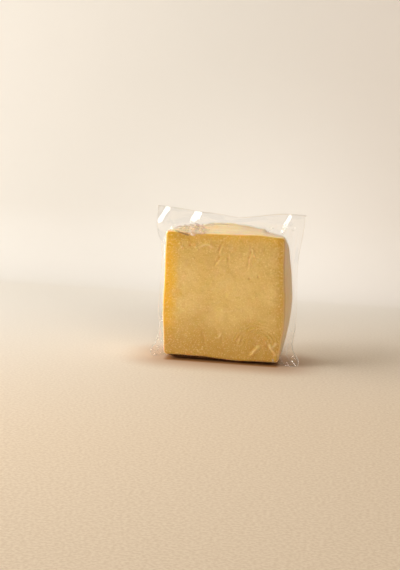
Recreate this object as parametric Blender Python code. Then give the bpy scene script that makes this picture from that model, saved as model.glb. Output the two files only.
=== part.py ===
"""A block of kashkaval cheese, vacuum sealed in a clear pouch and standing upright on its bottom edge.

Frame: metres, +Z up, the cut face looks along -Y. The origin is the middle of the flat base, where the
pouch's bottom margin, folded under the block, meets the table.

The pouch is one closed solid out to the film's outer surface. Two webs of film, front and back, lie on the
block and meet in a thin margin that stands out all round it, wide at the top and narrow at the sides. Each
web is a square grid: its rings run from the middle of a face, over the block's edge, down its side and out
along the margin. A loose ear of film at each lower corner and the folded margin under the block are joined
to it. Heights are above the block's foot.
"""

import math

import bmesh
import bpy
import numpy as np

# The block, out to the film that lies on it
BLOCK_WIDTH = 0.1270
BLOCK_DEPTH = 0.066
BLOCK_HEIGHT = 0.1305
BLOCK_LIFT = 0.004  # how far the folded margin holds the block off the table
FRONT_EDGE_RADIUS = 0.0022  # the cut face has crisp edges
BACK_EDGE_RADIUS = 0.021  # the rind side is well rounded
FRONT_CORNER_RADIUS = 0.0035
BACK_CORNER_RADIUS = 0.020
BACK_ROUND_BY = 0.0495  # this far behind the cut face the outline has its full back radius and dome

# The block is cut by hand, so its sides are uneven. How far a side stands out from the block's width, as
# (height, out), and how much more it swells at mid depth, as (share of the height, swell)
LEFT_SIDE = [(0.0000, -0.0030), (0.0230, -0.0015), (0.0460, -0.0001), (0.0700, 0.0000), (0.1305, 0.0000)]
RIGHT_SIDE = [(0.0000, -0.0040), (0.0180, -0.0021), (0.0570, -0.0004), (0.0830, -0.0019), (0.1080, -0.0033),
              (0.1305, -0.0036)]
LEFT_SWELL = 0.0011
RIGHT_SWELL = [(0.00, 0.0006), (0.14, 0.0018), (0.30, 0.0034), (0.60, 0.0052), (0.83, 0.0030), (1.00, 0.0004)]
# How far the top rises at the cut face and at the back, and how far the foot sags, as (x, distance)
FRONT_TOP = [(-0.0635, 0.0000), (0.0000, 0.0001), (0.0200, 0.0006), (0.0360, 0.0012), (0.0500, 0.0004),
             (0.0635, 0.0000)]
BACK_TOP = [(-0.0635, 0.0000), (-0.0470, 0.0018), (-0.0340, 0.0032), (-0.0060, 0.0069), (0.0060, 0.0064),
            (0.0310, 0.0030), (0.0375, 0.0021), (0.0415, -0.0002), (0.0450, -0.0008), (0.0635, 0.0000)]
FOOT_SAG = [(-0.0635, -0.0008), (-0.0200, -0.0007), (0.0240, 0.0011), (0.0400, 0.0005), (0.0635, 0.0000)]
FACE_PILLOW = 0.0007  # the cut face stands this proud in the middle
BACK_PILLOW = 0.0013

# The sealed margin
FILM_THICKNESS = 0.001  # both webs together, thicker than the real film so that the solid holds
MARGIN_Y = 0.004  # the margin's plane, just behind mid depth
ROOT_FILLET = 0.0035  # the film bridges the corner between the block and the margin
ROOT_SPREAD = 0.30  # share of the margin's width that the bridge takes
BOTTOM_MARGIN = 0.0006  # below the block the margin is folded away
FAN_POWER = 4  # how much the margin's fanning out is kept to its corners
CORNER_START = 0.80  # share of the half width beyond which it comes out to the lower corners
TOP_LEAN = 0.0030  # the top margin leans back at the left and forward at the right
TOP_LEAN_LENGTH = 0.33
LEAN_MIDDLE = 0.006  # here it neither leans back nor forward
LEAN_START = 0.85  # the top margin's share of the block's height, from where the lean sets in
LEAN_END = 1.08
LOOSE_FROM = 0.5  # share of its width from which the margin leans, waves and folds in full
STIFF_BELOW = 0.006  # under this height it stays in its plane
SIDE_WAVE = 0.0014
SIDE_WAVE_LENGTH = 0.085
SIDE_WAVE_START = 0.015

# The margin's outer edge: the top as (x, height), the sides as (height, x) from the foot up
TOP_EDGE = [(-0.0785, 0.1520), (-0.0630, 0.1512), (-0.0430, 0.1490), (-0.0250, 0.1478), (-0.0105, 0.1467),
            (0.0035, 0.1451), (0.0240, 0.1467), (0.0430, 0.1499), (0.0595, 0.1514), (0.0777, 0.1510)]
LEFT_EDGE = [(0.0010, -0.0610), (0.0060, -0.0650), (0.0130, -0.0682), (0.0200, -0.0698), (0.0640, -0.0728),
             (0.0900, -0.0719), (0.1080, -0.0727), (0.1160, -0.0742), (0.1205, -0.0765), (0.1270, -0.0782),
             (0.1376, -0.0788), (0.1520, -0.0785)]
RIGHT_EDGE = [(0.0010, 0.0600), (0.0060, 0.0660), (0.0130, 0.0710), (0.0200, 0.0724), (0.0340, 0.0732),
              (0.0704, 0.0728), (0.1013, 0.0724), (0.1173, 0.0739), (0.1392, 0.0768), (0.1510, 0.0777)]

# Folds of the margin: a line from foot to head as (x, height). Crossed from the left, the film comes forward
# by height over the width rise and goes back over the width fall.
MARGIN_FOLDS = [
    {"foot": (-0.0763, 0.1367), "head": (-0.0673, 0.1510), "rise": 0.008, "fall": 0.016, "height": 0.0028},
    {"foot": (-0.0425, 0.1330), "head": (-0.0350, 0.1480), "rise": 0.012, "fall": 0.028, "height": 0.0045},
    {"foot": (0.0550, 0.1310), "head": (0.0610, 0.1480), "rise": 0.007, "fall": 0.013, "height": 0.0026},
    {"foot": (0.0060, 0.1400), "head": (0.0270, 0.1455), "rise": 0.005, "fall": 0.010, "height": 0.0012},
    {"foot": (0.0650, 0.0950), "head": (0.0700, 0.1200), "rise": 0.006, "fall": 0.010, "height": 0.0014},
    {"foot": (-0.0700, 0.0300), "head": (-0.0660, 0.0700), "rise": 0.005, "fall": 0.008, "height": 0.0012},
]

FOLD_FADE = 0.5  # a fold dies away over this share of its length past each end

# Where film is bunched up on the block's top: a ridge from the margin's root to the cut face's rim
GATHERS = [
    {"root_x": -0.046, "rim_x": -0.031, "half_width": 0.0055, "height": 0.0012},
    {"root_x": 0.0385, "rim_x": 0.0365, "half_width": 0.0035, "height": 0.0008},
]
GATHER_START = 0.3  # radians round the front edge at which the ridges begin to rise

# The loose ears of the lower corners: each is a strip of film between the curve where it is held, along the
# block, and its free edge. Both run forward from behind the margin, as (x, y, height).
EARS = [
    {"free": [(0.0736, 0.0052, 0.0330), (0.0716, -0.0060, 0.0200), (0.0724, -0.0150, 0.0125),
              (0.0778, -0.0230, 0.0055), (0.0802, -0.0272, 0.0005), (0.0788, -0.0292, -0.0032)],
     "held": [(0.0600, 0.0052, 0.0200), (0.0595, -0.0080, 0.0090), (0.0575, -0.0170, 0.0035),
              (0.0580, -0.0238, -0.0002), (0.0640, -0.0275, -0.0024), (0.0715, -0.0296, -0.0032)]},
    {"free": [(-0.0720, 0.0052, 0.0330), (-0.0702, -0.0040, 0.0200), (-0.0712, -0.0120, 0.0120),
              (-0.0748, -0.0180, 0.0050), (-0.0762, -0.0205, 0.0005), (-0.0745, -0.0215, -0.0032)],
     "held": [(-0.0600, 0.0052, 0.0200), (-0.0600, -0.0060, 0.0090), (-0.0595, -0.0140, 0.0035),
              (-0.0600, -0.0185, -0.0002), (-0.0640, -0.0205, -0.0024), (-0.0695, -0.0220, -0.0032)]},
]
EAR_LENGTH_CELLS = 14
EAR_WIDTH_CELLS = 5
EAR_SAG = 0.0016  # how deep its lengthwise furrows are
EAR_FURROWS = 2.5
EAR_CLEARANCE = 0.0002  # its underside stays this far off the table

# The folded bottom margin that the block stands on
FOLD_WIDTH = 0.104
FOLD_DEPTH = 0.044
FOLD_OVERLAP = 0.0012  # how far it reaches up into the block, so that the two join
FOLD_CORNER_RADIUS = 0.0072

# Where each stretch of a web ends, as a share of the way from the middle of the face to the outer edge
FACE_END = 0.60
EDGE_END = 0.70
SIDE_END = 0.82
FACE_CELLS = 13
EDGE_CELLS = 4
SIDE_CELLS = 3
MARGIN_CELLS = 6
OFF_MIDDLE = 1e-7  # the grid is this much off its middle, where a web's direction is not defined
SLOPE_STEP = 1e-4  # the margin's slope is measured over this share of the grid
SHARP_ANGLE = math.radians(40)

CENTRE_Z = BLOCK_LIFT + BLOCK_HEIGHT / 2
ROOT_DEPTH = MARGIN_Y + BLOCK_DEPTH / 2  # the margin's plane behind the cut face


def grid_lines():
    """The grid's lines from -1 to 1, closer together where the web turns round the block's edge."""
    face = np.linspace(0, FACE_END, FACE_CELLS + 1)
    edge = np.linspace(FACE_END, EDGE_END, EDGE_CELLS + 1)[1:]
    side = np.linspace(EDGE_END, SIDE_END, SIDE_CELLS + 1)[1:]
    margin = np.linspace(SIDE_END, 1, MARGIN_CELLS + 1)[1:]
    half = np.concatenate([face, edge, side, margin])
    return np.concatenate([-half[:0:-1], half])


def smooth_step(value, low, high):
    """0 below low, 1 above high, and a smooth rise between them."""
    t = np.clip((value - low) / (high - low), 0, 1)
    return t * t * (3 - 2 * t)


def smooth_curve(at, points):
    """The value at each place of a smooth curve through points, which are (place, value)."""
    place, value = np.array(points).T
    slope = np.gradient(value, place)
    k = np.clip(np.searchsorted(place, at) - 1, 0, len(place) - 2)
    step = place[k + 1] - place[k]
    t = np.clip((at - place[k]) / step, 0, 1)
    from_start = value[k] + slope[k] * step * t
    from_end = value[k + 1] - slope[k + 1] * step * (1 - t)
    return from_start + (from_end - from_start) * t * t * (3 - 2 * t)


def rounded_rectangle(dx, dz, half_width, half_height, radius):
    """The square's edge point (dx, dz) moved onto a rectangle with rounded corners."""
    x, z = dx * half_width, dz * half_height
    inner_x = np.clip(x, radius - half_width, half_width - radius)
    inner_z = np.clip(z, radius - half_height, half_height - radius)
    out_x, out_z = x - inner_x, z - inner_z
    reach = np.maximum(np.hypot(out_x, out_z), 1e-9)
    keep = np.minimum(1, radius / reach)
    return inner_x + out_x * keep, inner_z + out_z * keep


def block_outline(dx, dz, depth):
    """The block's outline at a depth behind its cut face, as (x, height)."""
    swell = np.where(dx > 0, smooth_curve((dz + 1) / 2, RIGHT_SWELL), LEFT_SWELL)
    swell = swell * np.sin(math.pi * np.clip(depth / BLOCK_DEPTH, 0, 1))
    towards_back = smooth_step(depth, 0, BACK_ROUND_BY)
    radius = FRONT_CORNER_RADIUS + (BACK_CORNER_RADIUS - FRONT_CORNER_RADIUS) * towards_back
    x, z = rounded_rectangle(dx, dz, BLOCK_WIDTH / 2 + swell, BLOCK_HEIGHT / 2, radius)
    height = z + BLOCK_HEIGHT / 2
    out = np.where(x > 0, smooth_curve(height, RIGHT_SIDE), smooth_curve(height, LEFT_SIDE))
    rise = smooth_curve(x, FRONT_TOP) * (1 - towards_back) + smooth_curve(x, BACK_TOP) * towards_back
    rise = rise * np.clip(dz, 0, 1) ** 2 - smooth_curve(x, FOOT_SAG) * np.clip(-dz, 0, 1) ** 2
    return x * (1 + out / (BLOCK_WIDTH / 2)), height + rise


def fanned(t, low_root, high_root, low_edge, high_edge):
    """Where the margin's edge is for t from -1 to 1: level with its root, but fanned out at the corners."""
    level = low_root + (high_root - low_root) * (t + 1) / 2
    fan_high = (high_edge - high_root) * np.clip(t, 0, None) ** FAN_POWER
    fan_low = (low_edge - low_root) * np.clip(-t, 0, None) ** FAN_POWER
    return level + fan_high + fan_low


def margin_edge(dx, dz, root_x, root_height):
    """The margin's outer edge in the direction (dx, dz), as (x, height)."""
    top_x = fanned(dx, -BLOCK_WIDTH / 2, BLOCK_WIDTH / 2, TOP_EDGE[0][0], TOP_EDGE[-1][0])
    left_height = fanned(dz, 0, BLOCK_HEIGHT, LEFT_EDGE[0][0], LEFT_EDGE[-1][0])
    right_height = fanned(dz, 0, BLOCK_HEIGHT, RIGHT_EDGE[0][0], RIGHT_EDGE[-1][0])
    side_height = np.where(dx > 0, right_height, left_height)
    side_x = np.where(dx > 0, smooth_curve(side_height, RIGHT_EDGE), smooth_curve(side_height, LEFT_EDGE))
    corner = smooth_step(np.abs(dx), CORNER_START, 1)
    corner_height, corner_x = np.where(dx > 0, np.array(RIGHT_EDGE[0])[:, None, None],
                                       np.array(LEFT_EDGE[0])[:, None, None])
    folded_height = root_height - BOTTOM_MARGIN
    bottom_x = root_x + (corner_x - root_x) * corner
    bottom_height = folded_height + (corner_height - folded_height) * corner
    on_top, on_side = dz >= np.abs(dx), np.abs(dx) > np.abs(dz)
    x = np.where(on_top, top_x, np.where(on_side, side_x, bottom_x))
    height = np.where(on_top, smooth_curve(top_x, TOP_EDGE), np.where(on_side, side_height, bottom_height))
    return x, height


def fold_rise(x, height, fold):
    """How far one fold brings the margin forward at (x, height)."""
    foot, head = np.array(fold["foot"]), np.array(fold["head"])
    length = np.linalg.norm(head - foot)
    run_x, run_z = (head - foot) / length
    along = ((x - foot[0]) * run_x + (height - foot[1]) * run_z) / length
    across = (x - foot[0]) * run_z - (height - foot[1]) * run_x
    forward = smooth_step(across, -fold["rise"] / 2, fold["rise"] / 2)
    back = smooth_step(across, fold["rise"] / 2, fold["rise"] / 2 + fold["fall"])
    fading = smooth_step(along, -FOLD_FADE, 0) * (1 - smooth_step(along, 1, 1 + FOLD_FADE))
    return fold["height"] * forward * (1 - back) * fading


def margin_forward(x, height, out):
    """How far in front of its plane the margin lies."""
    loose = smooth_step(out, 0, LOOSE_FROM) * smooth_step(height, STIFF_BELOW, 3 * STIFF_BELOW)
    above = smooth_step(height, LEAN_START * BLOCK_HEIGHT, LEAN_END * BLOCK_HEIGHT)
    lean = TOP_LEAN * above * np.sin(2 * math.pi * (x - LEAN_MIDDLE) / TOP_LEAN_LENGTH)
    wave = SIDE_WAVE * (1 - above) * np.sin(2 * math.pi * (height + SIDE_WAVE_START) / SIDE_WAVE_LENGTH)
    folds = sum(fold_rise(x, height, fold) for fold in MARGIN_FOLDS)
    return loose * (lean + wave + folds)


def margin_sheet(u, v):
    """The middle of the margin at (u, v), and how far out that is, from 0 at the block to 1 at the edge."""
    ring = np.maximum(np.abs(u), np.abs(v))
    dx, dz = u / ring, v / ring
    out = (ring - SIDE_END) / (1 - SIDE_END)
    root_x, root_height = block_outline(dx, dz, ROOT_DEPTH)
    edge_x, edge_height = margin_edge(dx, dz, root_x, root_height)
    x = root_x + (edge_x - root_x) * out
    height = root_height + (edge_height - root_height) * out
    y = MARGIN_Y - margin_forward(x, height, out)
    return np.stack([x, y, np.maximum(height + BLOCK_LIFT, FILM_THICKNESS)], axis=-1), out


def margin_web(u, v, front):
    """One web's half of the margin, which bridges to the block's side at its root."""
    points, out = margin_sheet(u, v)
    along_u = margin_sheet(u + SLOPE_STEP, v)[0] - margin_sheet(u - SLOPE_STEP, v)[0]
    along_v = margin_sheet(u, v + SLOPE_STEP)[0] - margin_sheet(u, v - SLOPE_STEP)[0]
    normal = np.cross(along_u, along_v)
    normal /= np.linalg.norm(normal, axis=-1, keepdims=True)
    bridge = ROOT_FILLET * np.clip(1 - out / ROOT_SPREAD, 0, 1) ** 2
    offset = normal * FILM_THICKNESS / 2
    offset[..., 1] -= bridge
    return points + offset if front else points - offset


def gathered(x, towards_root):
    """How far the bunched film stands up off the block's top, from 0 at the rim to 1 at the root."""
    ridges = 0
    for gather in GATHERS:
        middle = gather["rim_x"] + (gather["root_x"] - gather["rim_x"]) * towards_root
        ridges = ridges + gather["height"] * np.exp(-((x - middle) / gather["half_width"]) ** 2)
    return ridges


def web(u, v, front):
    """One web of film over the grid (u, v), as points in the part's frame."""
    ring = np.maximum(np.abs(u), np.abs(v))
    dx, dz = u / ring, v / ring
    edge_radius = FRONT_EDGE_RADIUS if front else BACK_EDGE_RADIUS
    side_depth = ROOT_DEPTH if front else BLOCK_DEPTH - ROOT_DEPTH

    on_face = np.clip(ring / FACE_END, 0, 1)
    turn = np.clip((ring - FACE_END) / (EDGE_END - FACE_END), 0, 1) * math.pi / 2
    down_side = np.clip((ring - EDGE_END) / (SIDE_END - EDGE_END), 0, 1)
    inset = edge_radius * (1 - np.sin(turn))
    depth = edge_radius * (1 - np.cos(turn)) + down_side * (side_depth - ROOT_FILLET - edge_radius)
    x, height = block_outline(dx, dz, depth if front else BLOCK_DEPTH - depth)
    shrink = on_face * (1 - inset / (BLOCK_WIDTH / 2))
    z = (height - BLOCK_HEIGHT / 2) * shrink + CENTRE_Z
    if front:
        on_top = (dz >= np.abs(dx)) * smooth_step(turn, GATHER_START, math.pi / 2)
        z = z + gathered(x, depth / ROOT_DEPTH) * on_top
        y = depth - FACE_PILLOW * (1 - on_face**2) - BLOCK_DEPTH / 2
    else:
        y = BLOCK_DEPTH / 2 - depth + BACK_PILLOW * (1 - on_face**2)
    on_block = np.stack([x * shrink, y, z], axis=-1)
    in_margin = ring > SIDE_END + 2 * OFF_MIDDLE
    return np.where(in_margin[..., None], margin_web(u, v, front), on_block)


def cell_triangles(i, j, middle):
    """The grid cell (i, j) as two triangles, split along the line from the grid's middle to its corner."""
    a, b, c, d = (i, j), (i + 1, j), (i + 1, j + 1), (i, j + 1)
    same_sign = (i + 0.5 - middle) * (j + 0.5 - middle) > 0
    return ((a, b, c), (a, c, d)) if same_sign else ((a, b, d), (b, c, d))


def close_sheet(mesh, first, second):
    """Adds two grids of points to the mesh, joined by a strip along their border."""
    last_i, last_j = first.shape[0] - 1, first.shape[1] - 1
    sides = []
    for points in (first, second):
        verts = [mesh.verts.new(p) for p in points.reshape(-1, 3)]
        sides.append(np.array(verts, dtype=object).reshape(points.shape[:2]))
    for i in range(last_i):
        for j in range(last_j):
            for corners in cell_triangles(i, j, last_j / 2):
                mesh.faces.new([sides[0][c] for c in corners])
                mesh.faces.new([sides[1][c] for c in corners[::-1]])
    border = [(i, 0) for i in range(last_i)] + [(last_i, j) for j in range(last_j)]
    border += [(last_i - i, last_j) for i in range(last_i)] + [(0, last_j - j) for j in range(last_j)]
    for here, there in zip(border, border[1:] + border[:1]):
        mesh.faces.new([sides[0][there], sides[0][here], sides[1][here], sides[1][there]])
    bmesh.ops.triangulate(mesh, faces=mesh.faces)
    bmesh.ops.recalc_face_normals(mesh, faces=mesh.faces)


def pouch_mesh():
    """The closed pouch: a front and a back web, joined along the margin's outer edge."""
    lines = grid_lines() + OFF_MIDDLE
    u, v = np.meshgrid(lines, lines, indexing="ij")
    mesh = bmesh.new()
    close_sheet(mesh, web(u, v, True), web(u, v, False))
    return mesh


def along_curve(points, t):
    """A smooth curve through evenly timed points, at times t from 0 to 1."""
    knots = np.array([points[0], *points, points[-1]])
    place = np.clip(t, 0, 1) * (len(points) - 1)
    k = np.minimum(place.astype(int), len(points) - 2)
    f = (place - k)[..., None]
    before, start, end, after = (knots[k + i] for i in range(4))
    return 0.5 * (2 * start + (end - before) * f + (2 * before - 5 * start + 4 * end - after) * f**2
                  + (3 * start - before - 3 * end + after) * f**3)


def ear_sheet(ear, length, width):
    """The middle of an ear, with length from 0 at the margin to 1 at its tip and width from held to free."""
    held, free = along_curve(ear["held"], length), along_curve(ear["free"], length)
    points = held + (free - held) * width[..., None]
    furrows = EAR_SAG * np.sin(EAR_FURROWS * 2 * math.pi * width) * np.sin(math.pi * length)
    points[..., 2] += BLOCK_LIFT + furrows
    points[..., 2] = np.maximum(points[..., 2], FILM_THICKNESS / 2 + EAR_CLEARANCE)
    return points


def ear_mesh(ear):
    """An ear as a thin closed strip."""
    along, across = np.linspace(0, 1, EAR_LENGTH_CELLS + 1), np.linspace(0, 1, EAR_WIDTH_CELLS + 1)
    length, width = np.meshgrid(along, across, indexing="ij")
    middle = ear_sheet(ear, length, width)
    normal = np.cross(np.gradient(middle, axis=0), np.gradient(middle, axis=1))
    normal *= FILM_THICKNESS / 2 / np.linalg.norm(normal, axis=-1, keepdims=True)
    mesh = bmesh.new()
    close_sheet(mesh, middle + normal, middle - normal)
    return mesh


def folded_margin_mesh():
    """The bottom margin, folded into a flat pad under the block, with soft upright edges."""
    height = BLOCK_LIFT + FOLD_OVERLAP
    mesh = bmesh.new()
    bmesh.ops.create_cube(mesh, size=1)
    bmesh.ops.scale(mesh, vec=(FOLD_WIDTH, FOLD_DEPTH, height), verts=mesh.verts)
    bmesh.ops.translate(mesh, vec=(0, 0, height / 2), verts=mesh.verts)
    upright = [e for e in mesh.edges if abs(e.verts[0].co.z - e.verts[1].co.z) > height / 2]
    bmesh.ops.bevel(mesh, geom=upright, offset=FOLD_CORNER_RADIUS, segments=4, profile=0.5, affect="EDGES")
    return mesh


def add_object(name, mesh, material=None):
    """A named object from a bmesh, shaded smooth where it is round."""
    data = bpy.data.meshes.new(name)
    mesh.to_mesh(data)
    mesh.free()
    data.shade_smooth()
    data.set_sharp_from_angle(angle=SHARP_ANGLE)
    if material:
        data.materials.append(material)
    thing = bpy.data.objects.new(name, data)
    bpy.context.scene.collection.objects.link(thing)
    return thing


def packed_cheese_material():
    """Pale golden cheese under glossy clear film."""
    material = bpy.data.materials.new("packed_cheese")
    material.use_nodes = True
    shader = material.node_tree.nodes["Principled BSDF"]
    shader.inputs["Base Color"].default_value = (0.68, 0.43, 0.13, 1)
    shader.inputs["Roughness"].default_value = 0.32
    shader.inputs["Metallic"].default_value = 0.0
    return material


def join(pack, part):
    """Joins a part to the pouch and removes it as an object of its own."""
    union = pack.modifiers.new(part.name, "BOOLEAN")
    union.operation = "UNION"
    union.solver = "EXACT"
    union.object = part
    bpy.context.view_layer.update()
    graph = bpy.context.evaluated_depsgraph_get()
    joined = bpy.data.meshes.new_from_object(pack.evaluated_get(graph))
    pack.modifiers.clear()
    pack.data = joined
    bpy.data.objects.remove(part)


def main():
    for thing in list(bpy.data.objects):
        bpy.data.objects.remove(thing)
    pack = add_object("cheese_pack", pouch_mesh(), packed_cheese_material())
    join(pack, add_object("folded_margin", folded_margin_mesh()))
    for ear in EARS:
        join(pack, add_object("ear", ear_mesh(ear)))


main()
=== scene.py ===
"""The looks of the vacuum-packed kashkaval block: golden cheese inside a clear, wrinkled pouch.

The CAD solid is the whole pack out to the film's outer surface. Here it is replaced by what the real pack is
made of: the cheese, the film sucked onto it with its sealed margin, the loose ears of film at the lower
corners, and the margin folded under the block. Lengths are in metres, and inside from_mm in millimetres.
Heights are above the block's foot.
"""

import math
from types import SimpleNamespace

import bpy
import numpy as np
from mathutils import Matrix, Vector


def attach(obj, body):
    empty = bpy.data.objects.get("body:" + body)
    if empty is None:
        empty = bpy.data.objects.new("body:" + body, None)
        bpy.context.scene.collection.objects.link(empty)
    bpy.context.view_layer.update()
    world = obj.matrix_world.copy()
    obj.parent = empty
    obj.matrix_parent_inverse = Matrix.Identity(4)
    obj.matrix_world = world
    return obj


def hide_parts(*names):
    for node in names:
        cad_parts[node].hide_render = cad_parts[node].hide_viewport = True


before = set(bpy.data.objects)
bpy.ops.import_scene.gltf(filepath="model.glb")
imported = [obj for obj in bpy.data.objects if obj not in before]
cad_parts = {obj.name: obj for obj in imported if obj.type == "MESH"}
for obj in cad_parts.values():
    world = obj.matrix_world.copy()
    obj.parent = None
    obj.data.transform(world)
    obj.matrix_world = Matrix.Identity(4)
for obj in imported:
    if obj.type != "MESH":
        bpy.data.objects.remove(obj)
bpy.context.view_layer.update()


def from_mm(values):
    """Lists and tuples of numbers in millimetres, within each other, as metres."""
    if isinstance(values, (list, tuple)):
        return type(values)(from_mm(value) for value in values)
    return values / 1000


# The block, out to the film that lies on it, as the CAD solid has it. The sides are (height, how far out),
# and the tops and the foot's sag are (x, rise)
BLOCK_WIDTH = 0.127
BLOCK_DEPTH = 0.066
BLOCK_HEIGHT = 0.1305
BLOCK_LIFT = 0.004
FRONT_EDGE_RADIUS = 0.0022
BACK_EDGE_RADIUS = 0.021
FRONT_CORNER_RADIUS = 0.0035
BACK_CORNER_RADIUS = 0.02
BACK_ROUND_BY = 0.0495
LEFT_SIDE = from_mm([(0, -3), (23, -1.5), (46, -0.1), (70, 0), (130.5, 0)])
RIGHT_SIDE = from_mm([(0, -4), (18, -2.1), (57, -0.4), (83, -1.9), (108, -3.3), (130.5, -3.6)])
LEFT_SWELL = 0.0011
RIGHT_SWELL = [(0.0, 0.0006), (0.14, 0.0018), (0.3, 0.0034), (0.6, 0.0052), (0.83, 0.003), (1.0, 0.0004)]
FRONT_TOP = from_mm([(-63.5, 0), (0, 0.1), (20, 0.6), (36, 1.2), (50, 0.4), (63.5, 0)])
BACK_TOP = from_mm([
    (-63.5, 0), (-47, 1.8), (-34, 3.2), (-6, 6.9), (6, 6.4), (31, 3), (37.5, 2.1), (41.5, -0.2), (45, -0.8),
    (63.5, 0),
])
FOOT_SAG = from_mm([(-63.5, -0.8), (-20, -0.7), (24, 1.1), (40, 0.5), (63.5, 0)])
FACE_PILLOW = 0.0007
BACK_PILLOW = 0.0013

# The sealed margin, as the CAD solid has it
MARGIN_Y = 0.004
ROOT_FILLET = 0.0035
ROOT_SPREAD = 0.3
BOTTOM_MARGIN = 0.0006
FAN_POWER = 4
CORNER_START = 0.8
TOP_LEAN = 0.003
TOP_LEAN_LENGTH = 0.33
LEAN_MIDDLE = 0.006
LEAN_START = 0.85
LEAN_END = 1.08
LOOSE_FROM = 0.5
STIFF_BELOW = 0.006
SIDE_WAVE = 0.0014
SIDE_WAVE_LENGTH = 0.085
SIDE_WAVE_START = 0.015
# The margin's edge, at the top as (x, height) and at the sides as (height, x)
TOP_EDGE = from_mm([
    (-78.5, 152), (-63, 151.2), (-43, 149), (-25, 147.8), (-10.5, 146.7), (3.5, 145.1), (24, 146.7),
    (43, 149.9), (59.5, 151.4), (77.7, 151),
])
LEFT_EDGE = from_mm([
    (1, -61), (6, -65), (13, -68.2), (20, -69.8), (64, -72.8), (90, -71.9), (108, -72.7), (116, -74.2),
    (120.5, -76.5), (127, -78.2), (137.6, -78.8), (152, -78.5),
])
RIGHT_EDGE = from_mm([
    (1, 60), (6, 66), (13, 71), (20, 72.4), (34, 73.2), (70.4, 72.8), (101.3, 72.4), (117.3, 73.9),
    (139.2, 76.8), (151, 77.7),
])
# Folds of the margin as (foot, head, how wide they rise, how wide they fall, height), on (x, height)
MARGIN_FOLDS = from_mm([
    ((-76.3, 136.7), (-67.3, 151), 8, 16, 2.8), ((-42.5, 133), (-35, 148), 12, 28, 4.5),
    ((55, 131), (61, 148), 7, 13, 2.6), ((6, 140), (27, 145.5), 5, 10, 1.2),
    ((65, 95), (70, 120), 6, 10, 1.4), ((-70, 30), (-66, 70), 5, 8, 1.2),
])
FOLD_FADE = 0.5
# The loose ears, from the margin to the tip, along their free edge and where the block holds them
EARS = {
    "film_ear_right": {
        "free": from_mm([
            (73.6, 5.2, 33), (71.6, -6, 20), (72.4, -15, 12.5), (77.8, -23, 5.5), (80.2, -27.2, 0.5),
            (78.8, -29.2, -3.2),
        ]),
        "held": from_mm([
            (60, 5.2, 20), (59.5, -8, 9), (57.5, -17, 3.5), (58, -23.8, -0.2), (64, -27.5, -2.4),
            (71.5, -29.6, -3.2),
        ])},
    "film_ear_left": {
        "free": from_mm([
            (-72, 5.2, 33), (-70.2, -4, 20), (-71.2, -12, 12), (-74.8, -18, 5), (-76.2, -20.5, 0.5),
            (-74.5, -21.5, -3.2),
        ]),
        "held": from_mm([
            (-60, 5.2, 20), (-60, -6, 9), (-59.5, -14, 3.5), (-60, -18.5, -0.2), (-64, -20.5, -2.4),
            (-69.5, -22, -3.2),
        ])},
}
EAR_SAG = 0.0016
EAR_FURROWS = 2.5
EAR_CRUMPLES = [(0.0006, 0.008, 51), (0.0002, 0.0036, 52)]  # (height, size of the facets, seed)
# The ears' edges get a painted highlight, as this share of white
EAR_EDGE_HIGHLIGHT = 0.6
EAR_TO_MARGIN = 0.0006  # the ears stay this far in front of the margin
EAR_CELLS = (160, 80)
FOLD_WIDTH = 0.104
FOLD_DEPTH = 0.044
FOLD_CORNER_RADIUS = 0.0072
FOLD_BULGE = 0.007
FOLD_BACK_SHARE = 0.5  # the back half of the folded margin is pulled in, under the block's rounded back
FOLD_LAYERS = 3
FOLD_FOOT_INSET, FOLD_LAYER_BULGE = 0.001, 0.0005
FOLD_UNEVEN, FOLD_UNEVEN_SIZE = 0.0008, 0.014
FOLD_UNEVEN_BY_LEVEL = 0.02
FOLD_WAVE, FOLD_WAVE_SIZE = 0.00025, 0.012
FOLD_ROUND_STEPS, FOLD_LAYER_STEPS = 480, 10

# What is finer here than in the CAD solid
FILM_THICKNESS = 0.00022
EDGE_BEAD = 0.0005  # the film's cut edge is a little thicker
BEAD_START, BEAD_END = 0.955, 0.985
CHEESE_INSET = 0.0003  # the cheese lies this far inside the film
TABLE_GAP = 0.00015  # the film's lowest points stay this far above the table
SLOPE_STEP = 1e-4  # a step over a web's grid that is small enough to give the margin's slope
OFF_MIDDLE = 1e-7  # the grids are moved by this, so that none of their points is right in the middle

# Each web is a square grid, in stretches that end at these shares of the way from its middle to its edge
FACE_END, EDGE_END, SIDE_END = 0.6, 0.7, 0.82
FACE_CELLS, EDGE_CELLS, SIDE_CELLS, MARGIN_CELLS = 84, 6, 22, 28
MARGIN_START = SIDE_END + 2 * OFF_MIDDLE

CENTRE_Z = BLOCK_LIFT + BLOCK_HEIGHT / 2
ROOT_DEPTH = MARGIN_Y + BLOCK_DEPTH / 2

# The photograph, in pixels, and where the middle of the cut face shows in it
PHOTO_WIDTH, PHOTO_HEIGHT = 400, 570
FACE_PIXEL = (224.0, 297.0)
CAMERA_AZIMUTH = 6.0
CAMERA_ELEVATION = 9.0
CAMERA_ROLL = 2.9
CAMERA_DISTANCE = 1.5
METRES_PER_PIXEL = 0.00103


# ---------------- curves and noise

def ramp(value, low, high):
    """0 below low, 1 above high, and a smooth rise between them."""
    t = np.clip((value - low) / (high - low), 0, 1)
    return t * t * (3 - 2 * t)


def smooth_curve(at, points):
    """The value at each place of a smooth curve through points, which are (place, value)."""
    place, value = np.array(points).T
    slope = np.gradient(value, place)
    k = np.clip(np.searchsorted(place, at) - 1, 0, len(place) - 2)
    step = place[k + 1] - place[k]
    t = np.clip((at - place[k]) / step, 0, 1)
    from_start = value[k] + slope[k] * step * t
    from_end = value[k + 1] - slope[k + 1] * step * (1 - t)
    return from_start + (from_end - from_start) * t * t * (3 - 2 * t)


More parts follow.
